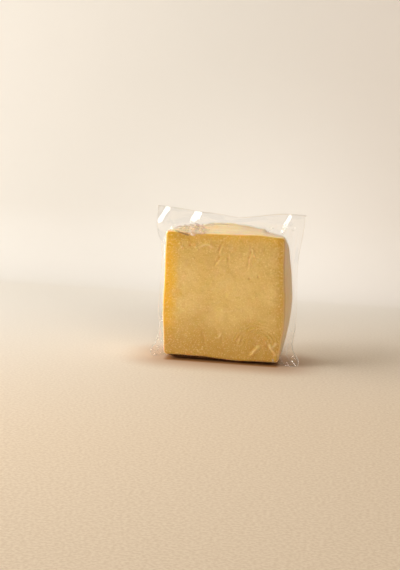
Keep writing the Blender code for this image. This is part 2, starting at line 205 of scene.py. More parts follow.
def along_curve(points, t):
    """A smooth curve through evenly timed points, at times t from 0 to 1."""
    knots = np.array([points[0], *points, points[-1]])
    place = np.clip(t, 0, 1) * (len(points) - 1)
    k = np.minimum(place.astype(int), len(points) - 2)
    f = (place - k)[..., None]
    before, start, end, after = (knots[k + i] for i in range(4))
    return 0.5 * (2 * start + (end - before) * f + (2 * before - 5 * start + 4 * end - after) * f**2
                  + (3 * start - before - 3 * end + after) * f**3)


def wobble(x, y, z, size, seed):
    """Smooth noise from -1 to 1 over places (x, y, z), with features of about size metres."""
    place = np.stack(np.broadcast_arrays(x, y, z), axis=-1) / size
    cell = np.floor(place).astype(np.int64)
    f = place - cell
    f = f * f * (3 - 2 * f)
    total = np.zeros(place.shape[:-1])
    for corner in range(8):
        step = np.array([corner & 1, corner >> 1 & 1, corner >> 2 & 1])
        c = cell + step
        mixed = c[..., 0] * 73856093 ^ c[..., 1] * 19349663 ^ c[..., 2] * 83492791 ^ seed * 2654435761
        mixed = (mixed ^ mixed >> 13) * 1274126177 & 0x7FFFFFFF
        mixed = (mixed ^ mixed >> 16) & 0xFFFF
        weight = np.prod(np.where(step == 1, f, 1 - f), axis=-1)
        total += weight * (mixed / 32767.5 - 1)
    return total


def wobbles(x, y, z, layers):
    """Smooth noise in layers, each of them given as (height, size of its features, seed)."""
    return sum(height * wobble(x, y, z, size, seed) for height, size, seed in layers)


def creases(a, b, size, seed, count=6):
    """Facets with sharp creases between them, from -1 to 1: triangle waves in seeded directions."""
    rng = np.random.default_rng(seed)
    total = np.zeros(np.broadcast(a, b).shape)
    for _ in range(count):
        angle, phase, stretch = rng.uniform(0, math.pi), rng.uniform(0, 1), rng.uniform(0.6, 1.7)
        along = (a * math.cos(angle) + b * math.sin(angle)) / (size * stretch) + phase
        total += 4 * np.abs(along - np.floor(along + 0.5)) - 1
    return total / count**0.5 / 1.2


def near_segment(a, b, start, end):
    """Distance from (a, b) to the segment, and how far along it the nearest point is, from 0 to 1."""
    run_a, run_b = end[0] - start[0], end[1] - start[1]
    along = ((a - start[0]) * run_a + (b - start[1]) * run_b) / (run_a**2 + run_b**2)
    held = np.clip(along, 0, 1)
    return np.hypot(a - start[0] - held * run_a, b - start[1] - held * run_b), held


def bell(distance):
    """1 at no distance, and falling off smoothly to nearly 0 at 2."""
    return np.exp(-(distance**2))


def stroke(a, b, start, end, width):
    """1 at (a, b) on the straight line from start to end, falling off smoothly beside it."""
    return bell(near_segment(a, b, start, end)[0] / width)


def spot(a, b, middle_a, middle_b, size_a, size_b):
    """1 in the middle of an oval spot, falling off smoothly around it."""
    return bell(np.hypot((a - middle_a) / size_a, (b - middle_b) / size_b))


# ---------------- the pouch's form, as the CAD solid has it

def rounded_rectangle(dx, dz, half_width, half_height, radius):
    """The square's edge point (dx, dz) moved onto a rectangle with rounded corners."""
    x, z = dx * half_width, dz * half_height
    inner_x = np.clip(x, radius - half_width, half_width - radius)
    inner_z = np.clip(z, radius - half_height, half_height - radius)
    out_x, out_z = x - inner_x, z - inner_z
    reach = np.maximum(np.hypot(out_x, out_z), 1e-9)
    keep = np.minimum(1, radius / reach)
    return inner_x + out_x * keep, inner_z + out_z * keep


def block_outline(dx, dz, depth):
    """The block's outline at a depth behind its cut face, as (x, height)."""
    swell = np.where(dx > 0, smooth_curve((dz + 1) / 2, RIGHT_SWELL), LEFT_SWELL)
    swell = swell * np.sin(math.pi * np.clip(depth / BLOCK_DEPTH, 0, 1))
    towards_back = ramp(depth, 0, BACK_ROUND_BY)
    radius = FRONT_CORNER_RADIUS + (BACK_CORNER_RADIUS - FRONT_CORNER_RADIUS) * towards_back
    x, z = rounded_rectangle(dx, dz, BLOCK_WIDTH / 2 + swell, BLOCK_HEIGHT / 2, radius)
    height = z + BLOCK_HEIGHT / 2
    out = np.where(x > 0, smooth_curve(height, RIGHT_SIDE), smooth_curve(height, LEFT_SIDE))
    rise = smooth_curve(x, FRONT_TOP) * (1 - towards_back) + smooth_curve(x, BACK_TOP) * towards_back
    rise = rise * np.clip(dz, 0, 1) ** 2 - smooth_curve(x, FOOT_SAG) * np.clip(-dz, 0, 1) ** 2
    return x * (1 + out / (BLOCK_WIDTH / 2)), height + rise


def fanned(t, low_root, high_root, low_edge, high_edge):
    """Where the margin's edge is for t from -1 to 1: level with its root, but fanned out at the corners."""
    level = low_root + (high_root - low_root) * (t + 1) / 2
    fan_high = (high_edge - high_root) * np.clip(t, 0, None) ** FAN_POWER
    fan_low = (low_edge - low_root) * np.clip(-t, 0, None) ** FAN_POWER
    return level + fan_high + fan_low


def margin_edge(dx, dz, root_x, root_height):
    """The margin's outer edge in the direction (dx, dz), as (x, height)."""
    top_x = fanned(dx, -BLOCK_WIDTH / 2, BLOCK_WIDTH / 2, TOP_EDGE[0][0], TOP_EDGE[-1][0])
    left_height = fanned(dz, 0, BLOCK_HEIGHT, LEFT_EDGE[0][0], LEFT_EDGE[-1][0])
    right_height = fanned(dz, 0, BLOCK_HEIGHT, RIGHT_EDGE[0][0], RIGHT_EDGE[-1][0])
    side_height = np.where(dx > 0, right_height, left_height)
    side_x = np.where(dx > 0, smooth_curve(side_height, RIGHT_EDGE), smooth_curve(side_height, LEFT_EDGE))
    corner = ramp(np.abs(dx), CORNER_START, 1)
    corner_height, corner_x = np.where(dx > 0, np.array(RIGHT_EDGE[0])[:, None, None],
                                       np.array(LEFT_EDGE[0])[:, None, None])
    folded_height = root_height - BOTTOM_MARGIN
    bottom_x = root_x + (corner_x - root_x) * corner
    bottom_height = folded_height + (corner_height - folded_height) * corner
    on_top, on_side = dz >= np.abs(dx), np.abs(dx) > np.abs(dz)
    x = np.where(on_top, top_x, np.where(on_side, side_x, bottom_x))
    height = np.where(on_top, smooth_curve(top_x, TOP_EDGE), np.where(on_side, side_height, bottom_height))
    return x, height


def fold_rise(x, height, fold):
    """How far one fold brings the margin forward at (x, height)."""
    foot, head, rise, fall, most = fold
    foot, head = np.array(foot), np.array(head)
    length = np.linalg.norm(head - foot)
    run_x, run_z = (head - foot) / length
    along = ((x - foot[0]) * run_x + (height - foot[1]) * run_z) / length
    across = (x - foot[0]) * run_z - (height - foot[1]) * run_x
    forward = ramp(across, -rise / 2, rise / 2)
    back = ramp(across, rise / 2, rise / 2 + fall)
    fading = ramp(along, -FOLD_FADE, 0) * (1 - ramp(along, 1, 1 + FOLD_FADE))
    return most * forward * (1 - back) * fading


def margin_forward(x, height, out):
    """How far in front of its plane the margin lies."""
    loose = ramp(out, 0, LOOSE_FROM) * ramp(height, STIFF_BELOW, 3 * STIFF_BELOW)
    above = ramp(height, LEAN_START * BLOCK_HEIGHT, LEAN_END * BLOCK_HEIGHT)
    lean = TOP_LEAN * above * np.sin(2 * math.pi * (x - LEAN_MIDDLE) / TOP_LEAN_LENGTH)
    wave = SIDE_WAVE * (1 - above) * np.sin(2 * math.pi * (height + SIDE_WAVE_START) / SIDE_WAVE_LENGTH)
    folds = sum(fold_rise(x, height, fold) for fold in MARGIN_FOLDS)
    return loose * (lean + wave + folds) + margin_wrinkles(x, height, out)


def margin_sheet(u, v):
    """The middle of the margin at (u, v), and how far out that is, from 0 at the block to 1 at the edge."""
    ring = np.maximum(np.abs(u), np.abs(v))
    dx, dz = u / ring, v / ring
    out = (ring - SIDE_END) / (1 - SIDE_END)
    root_x, root_height = block_outline(dx, dz, ROOT_DEPTH)
    edge_x, edge_height = margin_edge(dx, dz, root_x, root_height)
    x = root_x + (edge_x - root_x) * out
    height = root_height + (edge_height - root_height) * out
    y = MARGIN_Y - margin_forward(x, height, out)
    return np.stack([x, y, np.maximum(height + BLOCK_LIFT, FILM_THICKNESS)], axis=-1), out


def margin_web(u, v, front):
    """One web's half of the margin, which bridges to the block's side at its root."""
    points, out = margin_sheet(u, v)
    along_u = margin_sheet(u + SLOPE_STEP, v)[0] - margin_sheet(u - SLOPE_STEP, v)[0]
    along_v = margin_sheet(u, v + SLOPE_STEP)[0] - margin_sheet(u, v - SLOPE_STEP)[0]
    normal = np.cross(along_u, along_v)
    normal /= np.linalg.norm(normal, axis=-1, keepdims=True)
    bridge = ROOT_FILLET * np.clip(1 - out / ROOT_SPREAD, 0, 1) ** 2
    bead = EDGE_BEAD * ramp(out, BEAD_START, BEAD_END)
    offset = normal * (FILM_THICKNESS + bead)[..., None] / 2
    offset[..., 1] -= bridge
    return points + offset if front else points - offset


def block_web(u, v, front, fillet):
    """The block's surface over the grid (u, v), up to fillet short of the margin, and where each point is."""
    ring = np.maximum(np.abs(u), np.abs(v))
    dx, dz = u / ring, v / ring
    edge_radius = FRONT_EDGE_RADIUS if front else BACK_EDGE_RADIUS
    side_depth = ROOT_DEPTH if front else BLOCK_DEPTH - ROOT_DEPTH
    on_face = np.clip(ring / FACE_END, 0, 1)
    turn = np.clip((ring - FACE_END) / (EDGE_END - FACE_END), 0, 1) * math.pi / 2
    down_side = np.clip((ring - EDGE_END) / (SIDE_END - EDGE_END), 0, 1)
    inset = edge_radius * (1 - np.sin(turn))
    depth = edge_radius * (1 - np.cos(turn)) + down_side * (side_depth - fillet - edge_radius)
    x, height = block_outline(dx, dz, depth if front else BLOCK_DEPTH - depth)
    shrink = on_face * (1 - inset / (BLOCK_WIDTH / 2))
    z = (height - BLOCK_HEIGHT / 2) * shrink + CENTRE_Z
    if front:
        y = depth - FACE_PILLOW * (1 - on_face**2) - BLOCK_DEPTH / 2
    else:
        y = BLOCK_DEPTH / 2 - depth + BACK_PILLOW * (1 - on_face**2)
    at = SimpleNamespace(front=front, ring=ring, dx=dx, dz=dz, on_face=on_face, turn=turn,
                         down_side=down_side, towards_root=depth / side_depth)
    return np.stack([x * shrink, y, z], axis=-1), at


def in_top_quarter(at):
    """Where a web's grid runs out to the block's top, and not to its sides or its foot."""
    return at.dz >= np.abs(at.dx)


def ear_sheet(ear, length, width):
    """The middle of an ear, with length from 0 at the margin to 1 at its tip and width from held to free."""
    held, free = along_curve(ear["held"], length), along_curve(ear["free"], length)
    points = held + (free - held) * width[..., None]
    furrows = EAR_SAG * np.sin(EAR_FURROWS * 2 * math.pi * width) * np.sin(math.pi * length)
    points[..., 2] += BLOCK_LIFT + furrows
    return points


# ---------------- fine relief

# Unevenness as layers of (height, size of its features, seed)
FACE_RELIEF = [(0.00028, 0.013, 11), (0.00016, 0.0045, 12), (0.00011, 0.0019, 13)]
RIND_RELIEF = [(0.00025, 0.011, 21), (0.0001, 0.003, 22)]

# Ridges and dents of the cut face, which the film follows: (start, end, width, height), places as (x, height)
FACE_FOLDS = from_mm([
    ((-5.2, 118), (-7.9, 111.6), 1.6, -0.54), ((-6.6, 105.5), (-10.4, 98.5), 1.5, -0.54),
    ((2.7, 108.6), (2.4, 101.9), 1.3, -0.42), ((25.9, 114.8), (25, 111.6), 1.4, -0.48),
    ((24.7, 109), (23.8, 106.4), 1.4, -0.54), ((23.9, 104.3), (23, 97), 1.4, -0.48),
    ((-28.3, 115.5), (-21.2, 119), 1.5, 0.42), ((-21.2, 119), (-13.9, 116.4), 1.5, 0.36),
    ((-23.5, 124), (-15.3, 124.6), 1.3, -0.42), ((27.6, 33.8), (35.8, 35.9), 1.3, -0.36),
    ((35.8, 35.9), (41.1, 33.2), 1.3, -0.36), ((41.1, 33.2), (47.6, 26.8), 1.3, -0.36),
    ((41.6, 23.2), (48.2, 16.4), 1.4, -0.42), ((50.2, 18.1), (55.9, 8.5), 1.3, 0.6),
    ((48, 16.6), (53.7, 6.4), 1.5, -0.54), ((56.1, 20.1), (53.4, 16.2), 1.2, 0.48),
    ((38.9, 16.2), (31.1, 6.2), 1.6, 0.42), ((36, 16.6), (28.6, 7.8), 1.6, -0.36),
    ((-4, 22.6), (-1.1, 26.5), 1.3, 0.42), ((0.4, 22.4), (0.7, 18.2), 1.3, -0.42),
    ((-19.9, 26.2), (-16, 11.7), 1.5, -0.36), ((-2.3, 50), (8.1, 50.7), 1.3, 0.24),
])
# Small pits, and bumps as pits of less than no depth: (x, height, depth)
FACE_PITS = from_mm([
    (25, 86.3, 0.8), (33.7, 88.4, 0.8), (33.8, 105.5, -0.6), (41.6, 100.3, -0.5), (26.8, 115.5, -0.6),
    (29.2, 109.8, -0.7), (-48.7, 117.8, -0.7), (-45.9, 114.4, -0.7), (-31.9, 115.2, -0.7),
    (-29.9, 112.3, -0.7), (-34, 103.2, -0.5), (14, 16, -0.5), (-37.2, 117, 0.6),
])
PIT_RADIUS = 0.001
DENT_WARP, DENT_WARP_SIZE = 0.0007, 0.003
DENT_RIM = (0.0012, -0.0009)
DENT_RIM_SHARE = 0.6
FILM_DENTS, CHEESE_DENTS = 0.6, 1.3  # the film bridges the dents, so they are deeper in the cheese
RIPPLE_CENTRE = (0.037, 0.017)
RIPPLE_LENGTH = 0.0036
RIPPLE_RELIEF = 0.00032
RIPPLE_START, RIPPLE_FADE = (0.006, 0.011), (0.02, 0.032)  # how far from their centre they rise and fade
RIPPLE_ABOVE = (-0.004, 0.008)
RIPPLE_WARP, RIPPLE_WARP_SIZE = 0.0022, 0.01
RIPPLE_SHARE, RIPPLE_PATCH_SIZE = 0.6, 0.007  # their usual share of that height, which varies in patches
GRAINY_PATCH = (0.0523, 0.0917)
GRAINY_RELIEF = 0.0004
GRAINY_SIZE = (0.0032, 0.019)
GRAIN_SIZE = 0.0013
# The film forms a fine ridge and then a groove where it turns round the cut face's right edge
# Under them the cheese has a painted highlight line and a painted dark line of shade
EDGE_RIDGE_TURN, EDGE_GROOVE_TURN, EDGE_RIDGE_WIDTH = 0.45, 1.3, 0.26
EDGE_RIDGE = 0.0003
EDGE_GROOVE_SHARE = 0.6
CUT_ENDS = (0.2, 1.3)  # the edge has turned so far where the cut face's relief fades and ends
RELIEF_ENDS, INSET_ENDS = (0.8, 1), (0.97, 1)  # the same for all relief and the inset, down the block's side

# The margin's fine drawn lines and its unevenness, and its crumpled places as (x, height, radius, depth)
DRAWN_RELIEF, DRAWN_SIZE, DRAWN_STRETCH = 0.00007, 0.0017, 14
UNEVEN_MARGIN, UNEVEN_MARGIN_SIZE = 0.0003, 0.018
FACETED_MARGIN, FACETED_MARGIN_SIZE = 0.00005, 0.009
DRAWN_TURN = (0.93 * BLOCK_HEIGHT, 1.02 * BLOCK_HEIGHT)  # the drawn lines run up the sides and along the top
SIDE_MARGIN, TOP_MARGIN_MORE = 0.01, 0.008  # its usual width at the sides, and how much more at the top
CRUMPLE_FACET = 0.0034
CRUMPLES = from_mm([
    (64, 136.5, 4.5, 1.2), (58.5, 135, 3, 0.7), (-48, 133, 7, 0.3), (-65.5, 133, 6, 0.3),
    (-30, 137, 5, 0.3),
])
# Lines pressed into the margin: (start, end, width, height)
MARGIN_LINES = from_mm([
    ((-65.2, 140.1), (-57.8, 129.2), 0.6, -0.7), ((-70, 138), (-65.2, 130), 0.7, 0.4),
    ((8.7, 145), (19.1, 145.7), 0.7, 0.6), ((70.3, 101.5), (71.3, 29.2), 0.6, 0.6),
    ((72.7, 140), (71, 108.9), 0.6, -0.5), ((70, 130), (67.2, 95), 0.7, 0.6),
    ((67.2, 95), (68, 30), 0.7, -0.5), ((-73.2, 115.7), (-70.6, 70), 0.6, 0.5),
    ((-70, 120), (-69, 30), 0.7, -0.5),
])
# Creases of the bunched film just above the margin's root, as lines through (x, height), with width and depth
# These creases also get painted dark reflection and shade in the film's colour
MARGIN_CREASES = from_mm([
    ([(-60, 128.3), (-54.5, 130.2), (-47, 131.8), (-42, 133)], 0.7, 0.7),
    ([(-44, 131.2), (-39, 132.8), (-27.5, 134), (-22.5, 135.6)], 0.7, 0.6),
    ([(-22.5, 135.6), (-11, 136.7), (-2, 136.8)], 0.7, 0.6), ([(-3, 136.8), (12, 135.8)], 0.6, 0.2),
    ([(-43.2, 133.8), (-42.2, 133)], 0.6, 0.6), ([(-39.2, 134.2), (-37.6, 133.4)], 0.6, 0.6),
    ([(39.2, 132.5), (42.5, 135)], 0.5, 0.3), ([(61.7, 140.1), (63, 139.2)], 0.6, 0.4),
    ([(65.2, 136.5), (66.8, 135.2)], 0.6, 0.5), ([(61, 133.4), (62.8, 132.4)], 0.6, 0.3),
    ([(55.6, 134.5), (56.6, 133)], 0.5, 0.3),
])
# Creases of the film on the block's top as lines through (x, climb), where the climb is from the cut face's
# rim up towards the margin's root, with width and depth
TOP_CLIMB = 0.0093
# Creases sunk this far get all of their painted dark reflection and shade in the film's colour
DARKEST_CREASE = 0.001
CREASE_WARP, CREASE_WARP_SIZE = 0.0005, 0.005
# These creases also get painted dark reflection and shade in the film's colour
TOP_CREASES = from_mm([
    ([(-53, 0.4), (-47.7, -1.4), (-44.5, -2.8), (-40, -3)], 0.9, 1),
    ([(-40.2, -2.6), (-38.8, -0.6), (-34.5, -0.4)], 0.6, 0.6),
    ([(-59.7, 6), (-53.8, 5.2), (-49, 6.4), (-46.4, 6.9)], 0.7, 0.4),
    ([(-29.2, 8), (-20.6, 7.6), (-13.1, 7.4)], 0.8, 0.5), ([(-26.4, 8.4), (-25.1, 5.8)], 0.7, 0.4),
    ([(-41.5, 5.6), (-38, 6)], 0.7, 0.4), ([(-35.2, 3.1), (-32, 2.7)], 1, 0.5),
    ([(-33, 5), (-25.7, 5.4), (-17, 5)], 0.7, 0.3), ([(-50, 3), (-47, 2), (-42, 0.4)], 0.7, 0.5),
    ([(10, 5.6), (22, 5.2), (34, 4)], 0.5, 0.15), ([(-10, 2), (6, 2.4), (26, 1.8)], 0.5, 0.1),
])
# Painted highlights, as white marks on the margin and on the cut face: (start, end, half width, share)
MARGIN_HIGHLIGHTS = [
    ((0.0363, 0.1299), (0.0428, 0.1357), 0.0006, 1.0),
    ((-0.0413, 0.1322), (-0.0402, 0.134), 0.0009, 0.9),
    ((0.0548, 0.1303), (0.058, 0.1385), 0.0013, 0.5),
    ((0.0535, 0.1345), (0.0541, 0.1363), 0.0008, 0.6),
    ((0.0636, 0.1352), (0.0665, 0.1342), 0.0006, 0.5),
]
FACE_HIGHLIGHTS = [
    ((0.0536, 0.0035), (0.0548, 0.0001), 0.0006, 0.8),
    ((-0.0364, 0.1277), (-0.0335, 0.1272), 0.0008, 0.4),
]
# Pleats that start at the margin's root, given as the margin's larger folds are
PLEATS = from_mm([
    ((36.5, 130.5), (42.5, 135.2), 3.5, 7, 0.9), ((-45.8, 132.2), (-43, 135), 3, 4, 1.4),
    ((51.6, 129), (56.6, 140), 4, 6, 1.3),
])

# Film bunched up on the block's top, as ridges: (x at the margin's root, x at the rim, half width, height)
GATHERS = from_mm([
    (-56, -48, 1.4, 0.8), (-50, -42.5, 1.5, 1.2), (-44, -37.5, 1.6, 1.6), (-38, -33, 1.7, 1.8),
    (-31, -29, 1.5, 1.4), (-20, -25, 1.4, 1), (39, 37, 1.6, 1),
])
GATHER_START = 0.3  # the edge has turned so far where the bunched film starts
GATHER_WARP, GATHER_WARP_SIZE = 0.0018, 0.008
GATHER_SHARPNESS = 1.4
GATHER_AT_RIM = 0.35  # as much of their height is left at the rim
GATHER_FULL = 0.35  # and they have all of it this far towards the root
# The crumpled heap of them: (middle x, half width), how high its facets stand and how large they are
HEAP_X, HEAP_HALF_WIDTH = -0.035, 0.017
HEAP_RELIEF, HEAP_FACET = 0.0014, 0.0058
HEAP_SHIFT, HEAP_SHIFT_SIZE = 0.006, 0.011
HEAP_WARP, HEAP_WARP_SIZE = 0.0022, 0.007
# Where the bunched film hangs over the rim onto the cut face: (x, height, radius across, radius down, depth)
OVERHANGS = from_mm([(-35, 128.2, 3.8, 2.1, 2.2), (-27, 129.6, 3, 1, 0.8)])
TOP_RIPPLE_LENGTH = 0.0085
TOP_RIPPLE = 0.0005
TOP_RIPPLE_WARP, TOP_RIPPLE_WARP_SIZE = 0.003, 0.02


def dents(x, height):
    """The cut face's drawn dents and ridges. A dent has a lower ridge along its lower right side."""
    relief = 0
    x = x + DENT_WARP * wobble(x, height, 0, DENT_WARP_SIZE, 17)
    height = height + DENT_WARP * wobble(x, height, 0, DENT_WARP_SIZE, 18)
    for start, end, width, rise in FACE_FOLDS:
        along = near_segment(x, height, start, end)[1]
        swelling = 0.4 + 0.6 * np.sin(math.pi * (0.15 + 0.7 * along))
        mark = stroke(x, height, start, end, width)
        if rise < 0:
            mark = mark - DENT_RIM_SHARE * stroke(x - DENT_RIM[0], height - DENT_RIM[1], start, end, width)
        relief = relief + rise * swelling * mark
    for *middle, depth in FACE_PITS:
        relief = relief - depth * spot(x, height, *middle, PIT_RADIUS, PIT_RADIUS)
    return relief


def face_ripples(x, height):
    """Arcs of fine ripples in the film round a point low on the cut face's right."""
    away = np.hypot(x - RIPPLE_CENTRE[0], height - RIPPLE_CENTRE[1])
    arc = ramp(away, *RIPPLE_START) * (1 - ramp(away, *RIPPLE_FADE))
    arc *= ramp(height - RIPPLE_CENTRE[1], *RIPPLE_ABOVE)
    arc *= RIPPLE_SHARE + RIPPLE_SHARE * wobble(x, height, 0, RIPPLE_PATCH_SIZE, 16)
    warp = RIPPLE_WARP * wobble(x, height, 0, RIPPLE_WARP_SIZE, 14)
    return RIPPLE_RELIEF * arc * np.sin(2 * math.pi * (away + warp) / RIPPLE_LENGTH)


def face_relief(x, height, dent_share):
    """How far the cut face, with dent_share of its dents' depth, stands out at (x, height)."""
    relief = wobbles(x, height, 0, FACE_RELIEF) + dent_share * dents(x, height)
    relief += face_ripples(x, height)
    patch = spot(x, height, *GRAINY_PATCH, *GRAINY_SIZE)
    return relief + GRAINY_RELIEF * patch * wobble(x, height, 0, GRAIN_SIZE, 15)


def surface_relief(points, at, dent_share):
    """The relief of the cut face in front and of the rind round it."""
    rind = wobbles(*np.moveaxis(points, -1, 0), RIND_RELIEF)
    if not at.front:
        return rind
    cut = 1 - ramp(at.turn, *CUT_ENDS)
    return face_relief(points[..., 0], points[..., 2] - BLOCK_LIFT, dent_share) * cut + rind * (1 - cut)


def creased(a, b, lines):
    """How far each place (a, b) lies in one of the creases, from 0 to 1, and the creases' depth there."""
    share, depth = 0, 0
    wavy = b + CREASE_WARP * wobble(a, 0, 0, CREASE_WARP_SIZE, 35)
    for points, width, most in lines:
        near = np.max([stroke(a, wavy, *ends, width) for ends in zip(points, points[1:])], axis=0)
        share, depth = np.maximum(share, near * most / DARKEST_CREASE), np.maximum(depth, most * near)
    return share, depth


def highlighted(x, height, marks):
    """How far the film at (x, height) is white with a painted highlight, from 0 to 1."""
    share = 0
    for start, end, half_width, most in marks:
        share = np.maximum(share, most * stroke(x, height, start, end, half_width))
    return share


def top_climb(height, towards_root):
    """How far a place is above the cut face's rim, or behind it on the block's top, as TOP_CREASES has it."""
    return np.minimum(height - BLOCK_HEIGHT, 0) + TOP_CLIMB * towards_root


def margin_wrinkles(x, height, out):
    """The margin's fine wrinkles: lines drawn along its edge, crumpled places and pressed lines."""
    above = ramp(height, *DRAWN_TURN)
    along = height + (x - height) * above
    across = out * (SIDE_MARGIN + TOP_MARGIN_MORE * above)
    relief = DRAWN_RELIEF * wobble(along / DRAWN_STRETCH, across, 0, DRAWN_SIZE, 31)
    relief += UNEVEN_MARGIN * wobble(x, height, 0, UNEVEN_MARGIN_SIZE, 36)
    relief += FACETED_MARGIN * creases(x, height, FACETED_MARGIN_SIZE, 33)
    for *middle, radius, depth in CRUMPLES:
        relief += depth * spot(x, height, *middle, radius, radius) * creases(x, height, CRUMPLE_FACET, 34)
    for *line, rise in MARGIN_LINES:
        relief += rise * stroke(x, height, *line)
    rooted = sum(fold_rise(x, height, pleat) for pleat in PLEATS) - creased(x, height, MARGIN_CREASES)[1]
    return ramp(out, 0, 0.4) * relief + ramp(out, 0, 0.1) * rooted


def heaped(x, towards_root):
    """How far a place lies in the crumpled heap of film on the block's top, from 0 to 1."""
    uneven = wobble(x, towards_root * ROOT_DEPTH, 0, HEAP_SHIFT_SIZE, 44)
    middle = HEAP_X + HEAP_SHIFT * (uneven - towards_root)
    return np.exp(-(((x - middle) / HEAP_HALF_WIDTH) ** 4))


def overhang(x, height):
    """How far a place lies in film that hangs over the rim, from 0 to 1, and how far that stands out."""
    share, depth = 0, 0
    for *place, most in OVERHANGS:
        near = spot(x, height, *place)
        share, depth = share + near, depth + most * near
    return share, depth


def edge_line(at, turn):
    """A thin line along the cut face's right edge, where the edge has turned so far towards the rind."""
    return bell((at.turn - turn) / EDGE_RIDGE_WIDTH) * ramp(at.dx - np.abs(at.dz), 0, 0.1)


def film_lift(points, at):
    """How far the film alone stands off the cheese: its ripples, and bunched film that hangs over the rim."""
    x, y, z = np.moveaxis(points, -1, 0)
    along = y + TOP_RIPPLE_WARP * wobble(x, y, z, TOP_RIPPLE_WARP_SIZE, 41)
    ripple = 1 + np.sin(2 * math.pi * along / TOP_RIPPLE_LENGTH)
    lift = ramp(at.turn, 1.0, 1.5) * TOP_RIPPLE * ripple * (1 - at.down_side ** 4)
    if not at.front:
        return lift
    ridge = edge_line(at, EDGE_RIDGE_TURN) - EDGE_GROOVE_SHARE * edge_line(at, EDGE_GROOVE_TURN)
    return lift + overhang(x, z - BLOCK_LIFT)[1] + EDGE_RIDGE * ridge


def gathered(x, towards_root):
    """How far the bunched film stands up off the block's top, from 0 at the rim to 1 at the root."""
    depth = towards_root * ROOT_DEPTH
    ridges = 0
    for root_x, rim_x, half_width, height in GATHERS:
        middle = rim_x + (root_x - rim_x) * towards_root
        middle = middle + GATHER_WARP * wobble(middle, depth, 0, GATHER_WARP_SIZE, 42)
        ridges = ridges + height * np.exp(-np.abs((x - middle) / half_width) ** GATHER_SHARPNESS)
    warped_x = x + HEAP_WARP * wobble(x, depth, 0, HEAP_WARP_SIZE, 45)
    warped_depth = depth + HEAP_WARP * wobble(x, depth, 0, HEAP_WARP_SIZE, 46)
    facets = 1 + creases(warped_x, warped_depth, HEAP_FACET, 43)
    ridges = ridges + HEAP_RELIEF * facets * heaped(x, towards_root)
    return ridges * (GATHER_AT_RIM + (1 - GATHER_AT_RIM) * ramp(towards_root, 0.0, GATHER_FULL))


# ---------------- meshes

# How far the paste is golden or has painted shade at its edges, and how far in that reaches: (share, reach)
# The golden edges are partly the paste's own colour and partly painted glow of the light from the upper left
GOLDEN_AND_LIT_LEFT, GOLDEN_AND_LIT_TOP = (1.0, 0.019), (0.5, 0.011)
# Painted shade at the cut face's right, foot and top
SHADE_RIGHT, SHADE_FOOT, SHADE_TOP = (0.9, 0.014), (1.0, 0.06), (0.35, 0.045)
# The painted shadow of the heap of film on the paste below it, by its middle and its size
HEAP_SHADOW = 0.9
HEAP_SHADOW_MIDDLE, HEAP_SHADOW_SIZE = (-0.045, 0.13), (0.015, 0.006)
# Painted shade in the dents' hollows and painted light on the ridges are full at this depth and height
HOLLOW_SHADE_FULL, RIDGE_LIGHT_FULL = 0.0005, 0.0004  # the depth and height at which they have their full colour
HEAP_SHARE = 0.7  # how far the heap shows as cloudy film
# The painted shade in creases only shows above this height
CREASES_FROM = 0.95 * BLOCK_HEIGHT  # creases only show above this
RIM_UNEVEN = [(0.3, 0.014, 71), (0.2, 0.004, 72)]  # how the edges' colour varies in its reach


def grid_lines(cells, ends):
    """The grid's lines from -1 to 1, with so many cells up to each of the ends."""
    starts = (0, *ends[:-1])
    half = [np.linspace(start, end, count + 1)[1:] for count, start, end in zip(cells, starts, ends)]
    half = np.concatenate([[0.0], *half])
    return np.concatenate([-half[:0:-1], half]) + OFF_MIDDLE


def grid_normals(points):
    """Unit normals of a grid of points."""
    normal = np.cross(np.gradient(points, axis=0), np.gradient(points, axis=1))
    return normal / np.maximum(np.linalg.norm(normal, axis=-1, keepdims=True), 1e-12)


def border(rows, columns):
    """The places (i, j) along a grid's border, once round."""
    i, j = rows - 1, columns - 1
    way = [(k, 0) for k in range(i)] + [(i, k) for k in range(j)]
    way += [(i - k, j) for k in range(i)] + [(0, j - k) for k in range(j)]
    return np.array(way)


def closed_mesh(name, front, back, attributes=None):
    """One closed mesh from a front and a back grid of points, whose cells are as large or twice as large."""
    front_index = np.arange(front[..., 0].size).reshape(front.shape[:2])
    back_index = np.arange(back[..., 0].size).reshape(back.shape[:2]) + front_index.size
    faces = []
    for i, flip in ((front_index, False), (back_index, True)):
        quads = np.stack([i[:-1, :-1], i[1:, :-1], i[1:, 1:], i[:-1, 1:]], axis=-1).reshape(-1, 4)
        faces += (quads[:, ::-1] if flip else quads).tolist()
    front_way = front_index[tuple(border(*front.shape[:2]).T)]
    back_way = back_index[tuple(border(*back.shape[:2]).T)]
    ratio = len(front_way) // len(back_way)
    for k in range(len(back_way)):
        near = [front_way[(k * ratio + step) % len(front_way)] for step in range(ratio, -1, -1)]
        faces.append([*near, back_way[k], back_way[(k + 1) % len(back_way)]])
    points = np.concatenate([front.reshape(-1, 3), back.reshape(-1, 3)])
    return add_piece(name, points, faces, attributes)


def add_piece(name, points, faces, attributes=None):
    """A smooth-shaded object, with a number of its own at each point for each attribute."""
    data = bpy.data.meshes.new(name)
    data.from_pydata(points.tolist(), [], faces)
    data.validate()
    data.shade_smooth()
    for key, values in (attributes or {}).items():
        data.attributes.new(key, "FLOAT", "POINT").data.foreach_set("value", values.ravel())
    piece = bpy.data.objects.new(name, data)
    bpy.context.scene.collection.objects.link(piece)
    return piece


def rim_shade(points, sides):
    """How far the paste has the colour of its edges. The sides are ((share, reach), how far inward)."""
    x, y, z = np.moveaxis(points, -1, 0)
    uneven = 1 + wobbles(x, y, z, RIM_UNEVEN)
    shade = 0
    for (share, reach), inward in sides:
        width = reach * uneven
        shade = np.maximum(shade, share * (1 - ramp(inward * BLOCK_WIDTH / 2, 0.1 * width, width)))
    return shade


